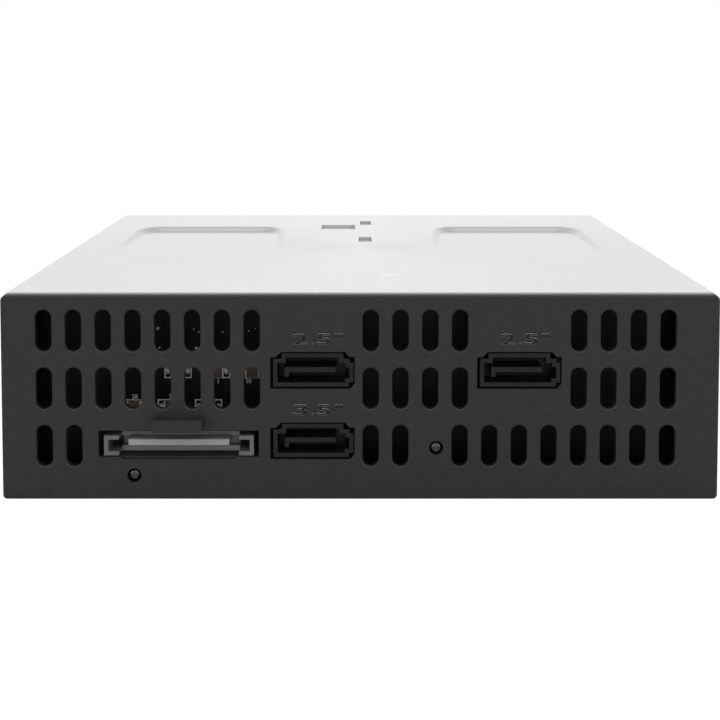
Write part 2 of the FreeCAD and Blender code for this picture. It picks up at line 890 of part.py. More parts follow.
def make_deck():
    """Shelf between the bays, with runners for the small drives and pads for their board."""
    half = cover_inner_half - sheet_gap
    rear = board_front_y - 1.0
    base = deck_z - overlap
    deck = block(-half, half, case_front_y + 1.0, rear, deck_low_z, deck_z)
    runner_end_y = small_drive_rear_y - runner_setback
    extras = []
    for side in (-1, 1):
        for inset in (divider_sheet / 2 + sheet_gap, small_bay_out - deck_runner_width):
            x0, x1 = sorted((side * inset, side * (inset + deck_runner_width)))
            extras.append(block(x0, x1, runner_start_y, runner_end_y, base, small_floor_z))
        x0, x1 = sorted((side * (small_bay_out + sheet_gap), side * half))
        extras.append(block(x0, x1, runner_start_y, rear, base, deck_z + guide_height))
    for x, y in upper_pad_places():
        extras.append(rod_z(upper_pad_radius, base, deck_z + upper_board_lift, x, y))
    screw_y = rear_y - cover_screw_from_rear
    extras.append(rod_z(post_radius, base, cover_inner_z, cover_screw_x, screw_y))
    bores = [rod_z(m3_radius, deck_z + 1, cover_inner_z + 1, cover_screw_x, screw_y)]
    for x, y in upper_pad_places():
        bores.append(rod_z(m2_radius, deck_low_z, deck_z + upper_board_lift, x, y))
    return joined(deck, extras).cut(bores)


def make_divider():
    """Upright sheet between the small bays, its top edge folded over under the cover's slots."""
    half = divider_sheet / 2
    start_y = case_front_y + 1.0
    end_y = small_drive_rear_y - divider_setback
    top = cover_inner_z - sheet_gap
    wall = block(-half, half, start_y, end_y, deck_z, top)
    left = min(x - width / 2 for x, width, near, far in cover_slots) - divider_flange_margin
    right = max(x + width / 2 for x, width, near, far in cover_slots) + divider_flange_margin
    return joined(wall, [block(left, right, start_y, end_y, top - divider_sheet, top)])


def make_bay_wall():
    """Wall between the 3.5 inch bay and the control column, with a ledge under the drive."""
    start = case_front_y + 1.0
    end = board_front_y - 2.0
    wall = block(bay_wall_x, bay_wall_x + bay_wall_sheet, start, end, tray_sheet, deck_low_z)
    foot_top = tray_sheet + foot_height
    foot = block(bay_wall_x, bay_wall_x + foot_width, runner_start_y, end, tray_sheet, foot_top)
    ledge_x = large_bay_right - ledge_width
    ledge = block(ledge_x, bay_wall_x + 0.1, runner_start_y, ledge_end_y, tray_sheet, large_floor_z)
    return joined(wall, [foot, ledge])


def make_left_rail():
    start = large_sector_end_y
    end = board_front_y - 2.0
    outer = -tray_inner_half + sheet_gap
    inner = outer + rail_wall
    bevel = tray_bend - tray_sheet
    section = [
        (outer, tray_sheet + bevel),
        (outer + bevel, tray_sheet),
        (inner, tray_sheet),
        (inner, deck_low_z),
        (outer, deck_low_z),
    ]
    wall = plate_xz(section, start, end)
    ledge = block(outer + bevel, inner + ledge_width, runner_start_y, ledge_end_y, tray_sheet, large_floor_z)
    return joined(wall, [ledge]).cut(side_bores(-1, mount_screw_radius + slot_gap))


# Front bezel


def make_bezel():
    inner_y = case_front_y
    bezel = rounded_plate(bezel_half, 0, bezel_top_z, bezel_corner, bezel_corner, front_y, inner_y)
    front_edges = [edge for edge in bezel.Edges if abs(edge.CenterOfMass.y - front_y) < 0.01]
    bezel = bezel.makeFillet(bezel_edge, front_edges)
    inner_x = bezel_half - bezel_side_wall
    cuts = [block(
        -inner_x, large_bay_right + 2 * door_gap, front_y - 1, inner_y + 1,
        large_opening_low, large_opening_high,
    )]
    for side in (-1, 1):
        x0, x1 = sorted((side * bezel_post_half, side * inner_x))
        cuts.append(block(x0, x1, front_y - 1, inner_y + 1, small_opening_low, small_opening_high))
    for side, low, high in hinge_places():
        x0, x1 = sorted((side * (inner_x - 1), side * (bezel_half + 1)))
        cuts.append(block(x0, x1, front_y - 1, hinge_y + barrel_radius + hinge_room, low, high))
        cuts.append(rod_z(pin_radius, low - pin_grip, high + pin_grip, side * hinge_x, hinge_y))
    cuts.append(block(
        column_x + 1.0, bezel_half - 3.0, front_y + column_wall, inner_y + 1,
        2.4, large_opening_high - 0.6,
    ))
    cuts.append(block(
        button_x - field_margin, lamp_x + field_margin, front_y - 1, front_y + field_depth,
        button_z(0) - field_margin, button_z(2) + field_margin,
    ))
    for place in range(3):
        z = button_z(place)
        cuts.append(rod_y(button_radius + running_gap, front_y - 1, inner_y, button_x, z))
        cuts.append(rod_y(lamp_radius + sheet_gap, front_y - 1, inner_y, lamp_x, z))
    bezel = bezel.cut(cuts)
    extras = []
    for x in hook_xs:
        extras.append(block(
            x - hook_half, x + hook_half, inner_y - 1, inner_y + hook_reach,
            tray_sheet, tray_sheet + hook_thick,
        ))
    wall_y = front_y + column_wall
    for z in front_post_levels:
        extras.append(rod_y(front_post_radius, wall_y - 0.1, front_board_y, front_post_x, z))
    bezel = joined(bezel, extras)
    bore_y = front_board_y - front_screw_grip
    bores = [rod_y(m2_radius, bore_y, front_board_y + 1, front_post_x, z) for z in front_post_levels]
    return bezel.cut(bores)


def hinge_places():
    """Side and height range of each door's hinge."""
    return [
        (-1, large_opening_low, large_opening_high),
        (-1, small_opening_low, small_opening_high),
        (1, small_opening_low, small_opening_high),
    ]


def make_hinge_pins():
    pins = []
    for side, low, high in hinge_places():
        pins.append(rod_z(pin_radius, low - pin_grip, high + pin_grip, side * hinge_x, hinge_y))
    return Part.makeCompound(pins)


# Doors with their gears, modelled with the hinge on the +X side


def involute_point(base_radius, roll):
    x = base_radius * (math.cos(roll) + roll * math.sin(roll))
    y = base_radius * (math.sin(roll) - roll * math.cos(roll))
    return x, y


def gear_sector(teeth, z0, z1):
    """Toothed sector about the hinge. One tooth points along -X at rest, the last along +Y."""
    pitch_radius = gear_module * teeth / 2
    base_radius = pitch_radius * math.cos(pressure_angle)
    tip_radius = pitch_radius + addendum
    root_radius = pitch_radius - dedendum
    half_tooth = (math.pi * gear_module / 2 - tooth_backlash) / 2 / pitch_radius
    involute_at_pitch = math.tan(pressure_angle) - pressure_angle
    end_roll = math.sqrt((tip_radius / base_radius) ** 2 - 1)
    start_roll = 0.0
    if root_radius > base_radius:
        start_roll = math.sqrt((root_radius / base_radius) ** 2 - 1)
    flank = []
    steps = 4
    for step in range(steps + 1):
        x, y = involute_point(base_radius, start_roll + (end_roll - start_roll) * step / steps)
        flank.append((math.hypot(x, y), math.atan2(y, x)))
    first_angle = math.pi / 2 - sector_overrun
    last_angle = math.pi + sector_overrun
    pitch_step = 2 * math.pi / teeth
    points = [(0.0, 0.0), (root_radius * math.cos(first_angle), root_radius * math.sin(first_angle))]
    for number in range(math.ceil((first_angle - math.pi) / pitch_step), 1):
        centre = math.pi + number * pitch_step
        rising = [(radius, centre - half_tooth - involute_at_pitch + angle) for radius, angle in flank]
        falling = [(radius, 2 * centre - angle) for radius, angle in reversed(rising)]
        tooth = [(root_radius, rising[0][1])] + rising + falling + [(root_radius, falling[-1][1])]
        for radius, angle in tooth:
            point = (radius * math.cos(angle), radius * math.sin(angle))
            if math.dist(point, points[-1]) > 0.02:
                points.append(point)
    points.append((root_radius * math.cos(last_angle), root_radius * math.sin(last_angle)))
    sector = plate_xy([(hinge_x + dx, hinge_y + dy) for dx, dy in points], z0, z1)
    return sector.cut(block(hinge_x + sheet_gap, hinge_x + 20, hinge_y, hinge_y + 20, z0 - 1, z1 + 1))


def rack_outline(pitch_x, start_y, end_y, back_x, rear_end_y):
    """Slide outline with teeth towards +X from start_y to end_y, a gap opposite the hinge."""
    pitch = math.pi * gear_module
    half_tooth = pitch / 4
    slope = math.tan(pressure_angle)
    root_x = pitch_x - dedendum
    points = [(back_x, start_y), (root_x, start_y)]
    centre = hinge_y + pitch / 2
    while centre - half_tooth - dedendum * slope < start_y:
        centre += pitch
    while centre + half_tooth + dedendum * slope < end_y:
        points.append((root_x, centre - half_tooth - dedendum * slope))
        points.append((pitch_x + addendum, centre - half_tooth + addendum * slope))
        points.append((pitch_x + addendum, centre + half_tooth - addendum * slope))
        points.append((root_x, centre + half_tooth + dedendum * slope))
        centre += pitch
    return points + [(root_x, rear_end_y), (back_x, rear_end_y)]


def make_door(free_x, low, high, teeth, gear_height, vent_bands):
    """Panel with ribs inside, a hinge barrel, a finger grip, air slots and the toothed sector."""
    z0 = low + door_gap
    z1 = high - door_gap
    inner_y = front_y + door_thick
    skin_y = front_y + door_skin
    rib_y = skin_y - 0.1
    panel = block(free_x, hinge_x, front_y, skin_y, z0, z1)
    rib_x = hinge_x - 3.0
    rib_z = z0 + rib_lift
    extras = [
        rod_z(barrel_radius, z0, z1, hinge_x, hinge_y),
        block(free_x, rib_x, rib_y, inner_y, z1 - rib_wall, z1),
        block(free_x, rib_x, rib_y, inner_y, rib_z, rib_z + rib_wall),
        block(free_x, free_x + rib_wall, rib_y, inner_y, rib_z, z1),
        block(rib_x - rib_wall, rib_x, rib_y, inner_y, rib_z, z1),
        gear_sector(teeth, z0, z0 + gear_height),
    ]
    door = joined(panel, extras)
    middle = (z0 + z1) / 2
    grip_x = free_x + grip_inset
    cuts = [block(
        grip_x, grip_x + grip_width, front_y - 1, front_y + grip_depth,
        middle - grip_height / 2, middle + grip_height / 2,
    )]
    for first_x, last_x, slot_low, slot_high in vent_bands:
        for place in range(int((last_x - first_x) / air_slot_pitch)):
            x = first_x + place * air_slot_pitch
            cuts.append(block(x, x + air_slot_width, front_y - 1, skin_y + 1, slot_low, slot_high))
    cuts.append(rod_z(pin_radius + pin_clearance, z0 - 1, z1 + 1, hinge_x, hinge_y))
    return door.cut(cuts).removeSplitter()


def make_small_door():
    gear_height = deck_runner - 2 * door_gap
    return make_door(
        small_free_x, small_opening_low, small_opening_high, small_teeth, gear_height, small_air_bands,
    )


def make_large_door():
    gear_height = runner_height - 2 * door_gap
    door = make_door(
        -large_free_x, large_opening_low, large_opening_high, large_teeth, gear_height, large_air_bands,
    )
    return mirror_x(door)


def make_pad(x0, x1, low_z, high_z):
    return block(x0, x1, front_y + door_skin, front_y + door_thick + door_pad_thick, low_z, high_z)


# Ejector slides, modelled for a hinge on the +X side


def slide_travel(teeth):
    return gear_module * teeth / 2 * door_swing


def stud_places(teeth):
    """Centre x of the slide and the y of both studs that guide it."""
    x = hinge_x - gear_module * teeth / 2 - dedendum - stud_inset
    return [(x, case_front_y + stud_front), (x, case_front_y + stud_front + stud_spacing)]


def make_slide(teeth, low, sheet, drive_rear_y):
    """Flat slide under the drive: rack in front, two slots on studs, a tab up behind the drive."""
    pitch_x = hinge_x - gear_module * teeth / 2
    root_x = pitch_x - dedendum
    back_x = root_x - slide_width
    travel = slide_travel(teeth)
    tab_y = drive_rear_y + slide_hook_gap
    tab_end_y = tab_y + slide_tab_sheet
    rack_start_y = hinge_y + slide_front_gap
    outline = rack_outline(pitch_x, rack_start_y, hinge_y + travel + rack_spare, back_x, tab_end_y)
    slide = plate_xy(outline, low, low + sheet)
    tab_x = root_x - slide_tab_inset
    tab = block(tab_x - slide_tab_width, tab_x, tab_y, tab_end_y, low, low + slide_tab_height)
    slide = joined(slide, [tab])
    half = stud_radius + running_gap
    cuts = []
    for x, y in stud_places(teeth):
        cuts.append(block(x - half, x + half, y, y + travel, low - 1, low + sheet + 1))
        cuts.append(rod_z(half, low - 1, low + sheet + 1, x, y))
        cuts.append(rod_z(half, low - 1, low + sheet + 1, x, y + travel))
    return slide.cut(cuts).removeSplitter()


def make_small_slide():
    sheet = deck_runner - 2 * door_gap
    return make_slide(small_teeth, deck_z + door_gap, sheet, small_drive_rear_y)


def make_large_slide():
    sheet = runner_height - 2 * door_gap
    return mirror_x(make_slide(large_teeth, tray_sheet + door_gap, sheet, large_drive_rear_y))


def make_slide_studs():
    studs = []
    for side in (-1, 1):
        for x, y in stud_places(small_teeth):
            studs.append(rod_z(stud_radius, deck_z, small_floor_z - door_gap, side * x, y))
    for x, y in stud_places(large_teeth):
        studs.append(rod_z(stud_radius, tray_sheet, large_floor_z - door_gap, -x, y))
    return Part.makeCompound(studs)


# Power buttons


def button_z(place):
    return button_low_z + place * button_pitch


def make_button(place):
    z = button_z(place)
    wall_y = front_y + column_wall
    cap = rod_y(button_radius, front_y + button_recess, wall_y + running_gap, button_x, z)
    cap = cap.fuse(rod_y(button_flange, wall_y + sheet_gap, wall_y + button_flange_thick, button_x, z))
    stem_end = front_board_y - switch_height - button_travel - running_gap
    return cap.fuse(rod_y(button_stem_radius, wall_y, stem_end, button_x, z)).removeSplitter()


def make_button_spring(place):
    """Bent leaf: a foot on the board and a finger that presses on the button's flange."""
    z = button_z(place)
    half = leaf_width / 2
    flange_y = front_y + column_wall + button_flange_thick
    x = button_x + switch_side / 2 + leaf_thick
    foot_y = front_board_y - leaf_thick
    foot = block(x, x + leaf_foot, foot_y, front_board_y, z - half, z + half)
    finger = [
        (x + leaf_thick, foot_y),
        (x, foot_y),
        (x - leaf_lean, flange_y),
        (x - leaf_lean + leaf_thick, flange_y),
    ]
    return joined(foot, [plate_xy(finger, z - half, z + half)])


def make_switches():
    half = switch_side / 2
    tip_y = front_board_y - switch_height
    switches = []
    for place in range(3):
        z = button_z(place)
        body = block(button_x - half, button_x + half, tip_y + 0.4, front_board_y, z - half, z + half)
        switches.append(joined(body, [rod_y(plunger_radius, tip_y, front_board_y - 1, button_x, z)]))
    return Part.makeCompound(switches)


def make_lamps():
    """Light pipes from the front face to just before the lamps."""
    wall_y = front_y + column_wall
    pipes = []
    for place in range(3):
        z = button_z(place)
        pipe = rod_y(lamp_radius, front_y, front_board_y - lamp_chip_height - lamp_gap, lamp_x, z)
        collar = rod_y(lamp_radius + 0.6, wall_y, wall_y + 0.8, lamp_x, z)
        pipes.append(joined(pipe, [collar]))
    return Part.makeCompound(pipes)


def make_lamp_chips():
    chips = []
    for place in range(3):
        z = button_z(place)
        chips.append(block(
            lamp_x - 1.0, lamp_x + 1.0, front_board_y - lamp_chip_height, front_board_y, z - 0.8, z + 0.8,
        ))
    return Part.makeCompound(chips)


def make_front_board():
    low = tray_sheet + hook_thick + slot_gap
    back_y = front_board_y + front_board_thick
    board = block(column_x + 0.6, tray_inner_half - 1.0, front_board_y, back_y, low, deck_low_z - 0.6)
    bore = m2_radius + running_gap
    return board.cut([rod_y(bore, front_board_y - 1, back_y + 1, front_post_x, z) for z in front_post_levels])


def make_cable_sockets():
    rear_side = front_board_y + front_board_thick
    sockets = []
    for start_y in (rear_side, board_front_y - cable_socket_reach):
        sockets.append(block(
            cable_socket_x, cable_socket_x + cable_socket_thick, start_y, start_y + cable_socket_reach,
            cable_low_z - 1.0, cable_high_z + 1.0,
        ))
    return Part.makeCompound(sockets)


def make_flat_cable():
    start_y = front_board_y + front_board_thick + cable_socket_reach
    end_y = board_front_y - cable_socket_reach
    x = cable_socket_x + (cable_socket_thick - cable_thick) / 2
    return block(x, x + cable_thick, start_y, end_y, cable_low_z, cable_high_z)


# Fasteners


def make_cover_screw():
    place = Vector(cover_screw_x, rear_y - cover_screw_from_rear, cover_top_z)
    return countersunk(place, Vector(0, 0, -1), csk_head_radius, csk_depth, m3_radius, 8.0)


def make_panel_screws():
    return Part.makeCompound([side_screw(side, z, 0) for side in (-1, 1) for z in side_screw_levels])


def make_upper_board_screws():
    top = deck_z + upper_board_lift + upper_board_thick
    screws = []
    for x, y in upper_pad_places():
        head = rod_z(m2_head_radius, top, top + m2_head_height, x, y)
        screws.append(joined(head, [rod_z(m2_radius, deck_low_z, top + 0.1, x, y)]))
    return Part.makeCompound(screws)


def make_front_board_screws():
    back = front_board_y + front_board_thick
    bore_y = front_board_y - front_screw_grip
    screws = []
    for z in front_post_levels:
        head = rod_y(m2_head_radius, back, back + m2_head_height, front_post_x, z)
        screws.append(joined(head, [rod_y(m2_radius, bore_y, back + 0.1, front_post_x, z)]))
    return Part.makeCompound(screws)


def make_board_screws():
    """Slim screws with domed, cross-recessed heads."""
    screws = []
    head_y = board_shoulder_y + board_screw_head_height
    reach = board_screw_head * 0.7
    half = board_screw_slot / 2
    for x, z in board_screw_places:
        head = rod_y(board_screw_head, board_shoulder_y, head_y, x, z)
        rim = [edge for edge in head.Edges if abs(edge.CenterOfMass.y - head_y) < 0.01]
        head = head.makeFillet(board_screw_dome, rim)
        start_y = board_front_y - board_screw_grip
        screw = joined(head, [rod_y(m2_radius, start_y, board_shoulder_y + 0.1, x, z)])
        slot_y = head_y - board_screw_head_height / 2
        cross = [
            block(x - reach, x + reach, slot_y, head_y + 1, z - half, z + half),
            block(x - half, x + half, slot_y, head_y + 1, z - reach, z + reach),
        ]
        screws.append(screw.cut(cross))
    return Part.makeCompound(screws)


def main():
    os.makedirs("parts", exist_ok=True)
    nodes = {
        "top_cover": make_top_cover(),
        "base_tray": make_base_tray(),
        "rear_panel": make_rear_panel(),
        "bay_deck": make_deck(),
        "bay_divider": make_divider(),
        "bay_wall": make_bay_wall(),
        "bay_rail": make_left_rail(),
        "backplane_board": make_backplane(),
        "upper_board": make_upper_board(),
        "data_port_contacts": make_data_contacts(),
        "power_inlet": make_power_inlet(),
        "power_inlet_guides": make_inlet_guides(),
        "power_inlet_contacts": make_power_contacts(),
        "large_drive_socket": make_large_socket(),
        "left_drive_socket": make_small_socket(-1),
        "right_drive_socket": make_small_socket(1),
        "drive_socket_contacts": make_socket_contacts(),
        "board_link": make_board_link(),
        "capacitors": make_capacitors(),
        "board_chips": make_chips(),
        "front_bezel": make_bezel(),
        "hinge_pins": make_hinge_pins(),
        "front_board": make_front_board(),
        "power_switches": make_switches(),
        "light_pipes": make_lamps(),
        "status_lamps": make_lamp_chips(),
        "cable_sockets": make_cable_sockets(),
        "flat_cable": make_flat_cable(),
        "cover_screw": make_cover_screw(),
        "panel_screws": make_panel_screws(),
        "board_screws": make_board_screws(),
        "upper_board_screws": make_upper_board_screws(),
        "front_board_screws": make_front_board_screws(),
        "large_door": make_large_door(),
        "large_ejector": make_large_slide(),
        "slide_studs": make_slide_studs(),
        "right_door": make_small_door(),
        "left_door": mirror_x(make_small_door()),
        "right_ejector": make_small_slide(),
        "left_ejector": mirror_x(make_small_slide()),
    }
    for number, (x, z) in enumerate(port_places):
        nodes["data_port_%d" % (number + 1)] = make_data_port(x, z)
    for place in range(3):
        nodes["power_button_%d" % (place + 1)] = make_button(place)
        nodes["button_spring_%d" % (place + 1)] = make_button_spring(place)
    nodes["right_door_pad"] = make_pad(*small_pad)
    nodes["left_door_pad"] = mirror_x(nodes["right_door_pad"])
    nodes["large_door_pad"] = make_pad(*large_pad)
    for name, shape in nodes.items():
        shape.exportStep("parts/%s.step" % name)
        box = shape.BoundBox
        size = "%.1f x %.1f x %.1f" % (box.XLength, box.YLength, box.ZLength)
        print("%-22s solids %2d  valid %s  %s" % (name, len(shape.Solids), shape.isValid(), size))


main()
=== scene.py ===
import json
import math

import bpy
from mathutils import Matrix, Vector

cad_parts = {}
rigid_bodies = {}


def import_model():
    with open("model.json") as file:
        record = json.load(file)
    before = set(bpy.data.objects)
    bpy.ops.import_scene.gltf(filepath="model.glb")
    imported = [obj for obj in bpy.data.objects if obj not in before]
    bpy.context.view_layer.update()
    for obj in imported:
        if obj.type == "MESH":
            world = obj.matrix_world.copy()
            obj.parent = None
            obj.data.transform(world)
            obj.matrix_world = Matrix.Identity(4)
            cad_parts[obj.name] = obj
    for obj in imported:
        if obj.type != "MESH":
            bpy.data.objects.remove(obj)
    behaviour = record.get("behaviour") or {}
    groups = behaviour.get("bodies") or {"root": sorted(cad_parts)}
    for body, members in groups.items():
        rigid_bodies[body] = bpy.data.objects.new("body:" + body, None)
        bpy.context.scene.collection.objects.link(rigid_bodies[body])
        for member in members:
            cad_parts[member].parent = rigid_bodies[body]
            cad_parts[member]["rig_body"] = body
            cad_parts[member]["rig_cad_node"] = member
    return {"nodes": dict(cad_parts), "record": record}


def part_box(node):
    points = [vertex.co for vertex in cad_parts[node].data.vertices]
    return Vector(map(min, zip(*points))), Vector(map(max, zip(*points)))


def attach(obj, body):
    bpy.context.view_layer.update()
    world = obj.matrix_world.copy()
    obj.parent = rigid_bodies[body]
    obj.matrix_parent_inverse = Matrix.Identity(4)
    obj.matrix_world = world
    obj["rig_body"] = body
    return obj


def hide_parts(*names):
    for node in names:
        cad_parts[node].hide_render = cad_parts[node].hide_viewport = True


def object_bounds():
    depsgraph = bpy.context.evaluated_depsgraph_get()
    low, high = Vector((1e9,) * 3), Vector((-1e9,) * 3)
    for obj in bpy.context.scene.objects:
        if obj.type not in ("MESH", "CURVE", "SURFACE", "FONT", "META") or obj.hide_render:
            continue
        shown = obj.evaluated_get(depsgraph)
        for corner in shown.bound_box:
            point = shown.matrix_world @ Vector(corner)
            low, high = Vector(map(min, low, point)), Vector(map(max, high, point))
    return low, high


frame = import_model()
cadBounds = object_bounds()
mm = 0.001


# Small helpers

def linearChannel(value):
    if value <= 0.04045:
        return value / 12.92
    return ((value + 0.055) / 1.055) ** 2.4


def hexColour(text):
    channels = [int(text[i:i + 2], 16) / 255 for i in (1, 3, 5)]
    return (*[linearChannel(c) for c in channels], 1.0)


def addNode(tree, kind, settings=None, inputs=None, links=None):
    # settings are the node's own options, inputs are plain values, links come from other nodes
    node = tree.nodes.new(kind)
    for name, value in (settings or {}).items():
        setattr(node, name, value)
    for name, value in (inputs or {}).items():
        node.inputs[name].default_value = value
    for name, source in (links or {}).items():
        tree.links.new(source, node.inputs[name])
    return node


def deselectAll():
    active = bpy.context.view_layer.objects.active
    if active and active.mode != "OBJECT":
        bpy.ops.object.mode_set(mode="OBJECT")
    bpy.ops.object.select_all(action="DESELECT")


def pick(piece):
    deselectAll()
    piece.select_set(True)
    bpy.context.view_layer.objects.active = piece


def applyPlace(piece):
    pick(piece)
    bpy.ops.object.transform_apply(location=True, rotation=True, scale=True)


def applyModifier(piece, kind, **settings):
    pick(piece)
    modifier = piece.modifiers.new(kind.lower(), kind)
    for name, value in settings.items():
        setattr(modifier, name, value)
    bpy.ops.object.modifier_apply(modifier=modifier.name)


def joinPieces(pieces, name):
    pick(pieces[0])
    for piece in pieces[1:]:
        piece.select_set(True)
    if len(pieces) > 1:
        bpy.ops.object.join()
    joined = bpy.context.view_layer.objects.active
    joined.name = name
    return joined


def dress(piece, material, body="cage"):
    piece.data.materials.clear()
    piece.data.materials.append(material)
    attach(piece, body)
    return piece


# Materials

def newMaterial(name):
    material = bpy.data.materials.new(name)
    material.use_nodes = True
    tree = material.node_tree
    tree.nodes.clear()
    shader = addNode(tree, "ShaderNodeBsdfPrincipled")
    addNode(tree, "ShaderNodeOutputMaterial", links={"Surface": shader.outputs["BSDF"]})
    place = addNode(tree, "ShaderNodeTexCoord").outputs["Object"]
    return material, tree, shader, place


def setShader(shader, **values):
    names = {
        "metallic": "Metallic", "ior": "IOR", "specular": "Specular IOR Level", "colour": "Base Color",
        "transmission": "Transmission Weight", "roughness": "Roughness", "anisotropic": "Anisotropic",
    }
    for name, value in values.items():
        shader.inputs[names[name]].default_value = value


def mixColours(tree, factor, low, high):
    mix = addNode(tree, "ShaderNodeMix", {"data_type": "RGBA"}, links={"Factor": factor})
    mix.inputs["A"].default_value = hexColour(low)
    mix.inputs["B"].default_value = hexColour(high)
    return mix.outputs["Result"]


def spread(tree, value, low, high):
    ranged = addNode(
        tree, "ShaderNodeMapRange", inputs={"To Min": low, "To Max": high}, links={"Value": value},
    )
    return ranged.outputs["Result"]


def grain(tree, place, sizeMm, detail=2.0, stretch=(1, 1, 1)):
    # sizeMm is the width of one grain
    mapped = addNode(tree, "ShaderNodeMapping", inputs={"Scale": stretch}, links={"Vector": place})
    noise = addNode(
        tree, "ShaderNodeTexNoise", inputs={"Scale": 1 / (sizeMm * mm), "Detail": detail, "Roughness": 0.55},
        links={"Vector": mapped.outputs["Vector"]},
    )
    return noise.outputs["Fac"]


def bump(tree, shader, height, depthMm, strength=1.0):
    node = addNode(
        tree, "ShaderNodeBump", inputs={"Strength": strength, "Distance": depthMm * mm},
        links={"Height": height},
    )
    tree.links.new(node.outputs["Normal"], shader.inputs["Normal"])


def leaning(tree, axis, steepest, flattest):
    # 1 on faces that lean away from an axis, 0 on those along it or across it
    facing = addNode(tree, "ShaderNodeNewGeometry").outputs["Normal"]
    along = addNode(tree, "ShaderNodeSeparateXYZ", links={"Vector": facing}).outputs[axis]
    slopes = []
    for start, end in (steepest, flattest):
        slope = addNode(
            tree, "ShaderNodeMapRange", {"interpolation_type": "SMOOTHSTEP"},
            {"From Min": start, "From Max": end}, {"Value": along},
        )
        slopes.append(slope.outputs["Result"])
    both = addNode(tree, "ShaderNodeMath", {"operation": "MULTIPLY"}, links={0: slopes[0], 1: slopes[1]})
    return both.outputs["Value"]


def blendIn(tree, factor, colour, added):
    mix = addNode(tree, "ShaderNodeMix", {"data_type": "RGBA"}, links={"Factor": factor})
    tree.links.new(colour, mix.inputs["A"])
    mix.inputs["B"].default_value = hexColour(added)
    return mix.outputs["Result"]


def makeZincSheet():
    # Zinc-plated cold-rolled steel: pale, satin, with a faint rolling grain along its length.
    # On sloping faces the colour is a painted shade, a little darker, and the metal is duller.
    look = {
        "low": "#b6b5b8", "high": "#c0bfc1", "slopeShade": "#b5b4b6", "grainMm": 0.25, "cloudMm": 22,
        "smooth": 0.34, "rough": 0.48, "depthMm": 0.004,
        "steepest": (0.5, 0.7), "flattest": (0.9995, 0.93), "slopeShadeMetallic": 0.74,
    }
    material, tree, shader, place = newMaterial("zincPlatedSheet")
    setShader(shader, anisotropic=0.25)
    clouds = grain(tree, place, look["cloudMm"], 3)
    rolled = grain(tree, place, look["grainMm"], 2, (1, 0.05, 1))
    colour = mixColours(tree, spread(tree, clouds, 0.2, 0.9), look["low"], look["high"])
    # painted shade: faces that slope take a darker colour and less metal
    slopeShade = leaning(tree, "Z", look["steepest"], look["flattest"])
    tree.links.new(blendIn(tree, slopeShade, colour, look["slopeShade"]), shader.inputs["Base Color"])
    tree.links.new(spread(tree, slopeShade, 1.0, look["slopeShadeMetallic"]), shader.inputs["Metallic"])
    tree.links.new(spread(tree, rolled, look["smooth"], look["rough"]), shader.inputs["Roughness"])
    bump(tree, shader, rolled, look["depthMm"])
    return material


def makeTraySheet():
    # Galvanised steel: greyer than the cover, with soft spangle
    look = {"low": "#a9abae", "high": "#c6c7c9", "spangleMm": 5, "depthMm": 0.004}
    material, tree, shader, place = newMaterial("galvanisedSheet")
    setShader(shader, metallic=1.0)
    cells = addNode(
        tree, "ShaderNodeTexVoronoi", inputs={"Scale": 1 / (look["spangleMm"] * mm), "Randomness": 1.0},
        links={"Vector": place},
    ).outputs["Color"]
    fine = grain(tree, place, 0.3, 2, (1, 0.1, 1))
    tree.links.new(mixColours(tree, cells, look["low"], look["high"]), shader.inputs["Base Color"])
    tree.links.new(spread(tree, fine, 0.34, 0.5), shader.inputs["Roughness"])
    bump(tree, shader, fine, look["depthMm"])
    return material


def makeMoulding(name, look):
    material, tree, shader, place = newMaterial(name)
    setShader(shader, ior=1.53, specular=look["specular"])
    fine = grain(tree, place, look["grainMm"], 3)
    clouds = grain(tree, place, look["cloudMm"], 2)
    colour = mixColours(tree, clouds, look["low"], look["high"])
    roughness = spread(tree, fine, look["smooth"], look["rough"])
    if "rimGlint" in look:  # small edges around openings get a painted glint, paler
        # painted glint: faces that lean partly towards +Y take a paler colour
        edges = leaning(tree, "Y", (0.3, 0.5), (0.95, 0.85))
        colour = blendIn(tree, edges, colour, look["rimGlint"])
    tree.links.new(colour, shader.inputs["Base Color"])
    tree.links.new(roughness, shader.inputs["Roughness"])
    bump(tree, shader, fine, look["depthMm"])
    return material


def makeSolderMask():
    # Glossy black lacquer over woven glass and copper tracks
    look = {"low": "#060807", "high": "#0e110f", "trackMm": 1.3, "depthMm": 0.02}
    material, tree, shader, place = newMaterial("blackSolderMask")
    setShader(shader, ior=1.5, specular=0.16)
    tracks = addNode(
        tree, "ShaderNodeTexBrick", {"offset": 0.37},
        {"Scale": 1 / (look["trackMm"] * 6 * mm), "Mortar Size": 0.05, "Mortar Smooth": 0.4,
         "Color1": (1, 1, 1, 1), "Color2": (0.8, 0.8, 0.8, 1), "Mortar": (0, 0, 0, 1)},
        {"Vector": place},
    ).outputs["Color"]
    weave = grain(tree, place, 0.5, 2)
    tree.links.new(mixColours(tree, tracks, look["low"], look["high"]), shader.inputs["Base Color"])
    tree.links.new(spread(tree, weave, 0.3, 0.48), shader.inputs["Roughness"])
    bump(tree, shader, tracks, look["depthMm"], 0.5)
    return material


def makeMetal(name, look):
    material, tree, shader, place = newMaterial(name)
    setShader(shader, metallic=look.get("metallic", 1.0))
    fine = grain(tree, place, look["grainMm"], 2)
    tree.links.new(mixColours(tree, fine, look["low"], look["high"]), shader.inputs["Base Color"])
    tree.links.new(spread(tree, fine, look["smooth"], look["rough"]), shader.inputs["Roughness"])
    bump(tree, shader, fine, look["depthMm"])
    return material


def makeLightPipe():
    # Clear polycarbonate, with a frosted face
    material, tree, shader, place = newMaterial("clearPolycarbonate")
    setShader(shader, ior=1.585, transmission=0.85, colour=hexColour("#eef3f2"))
    frost = grain(tree, place, 0.2, 2)
    tree.links.new(spread(tree, frost, 0.12, 0.3), shader.inputs["Roughness"])
    return material


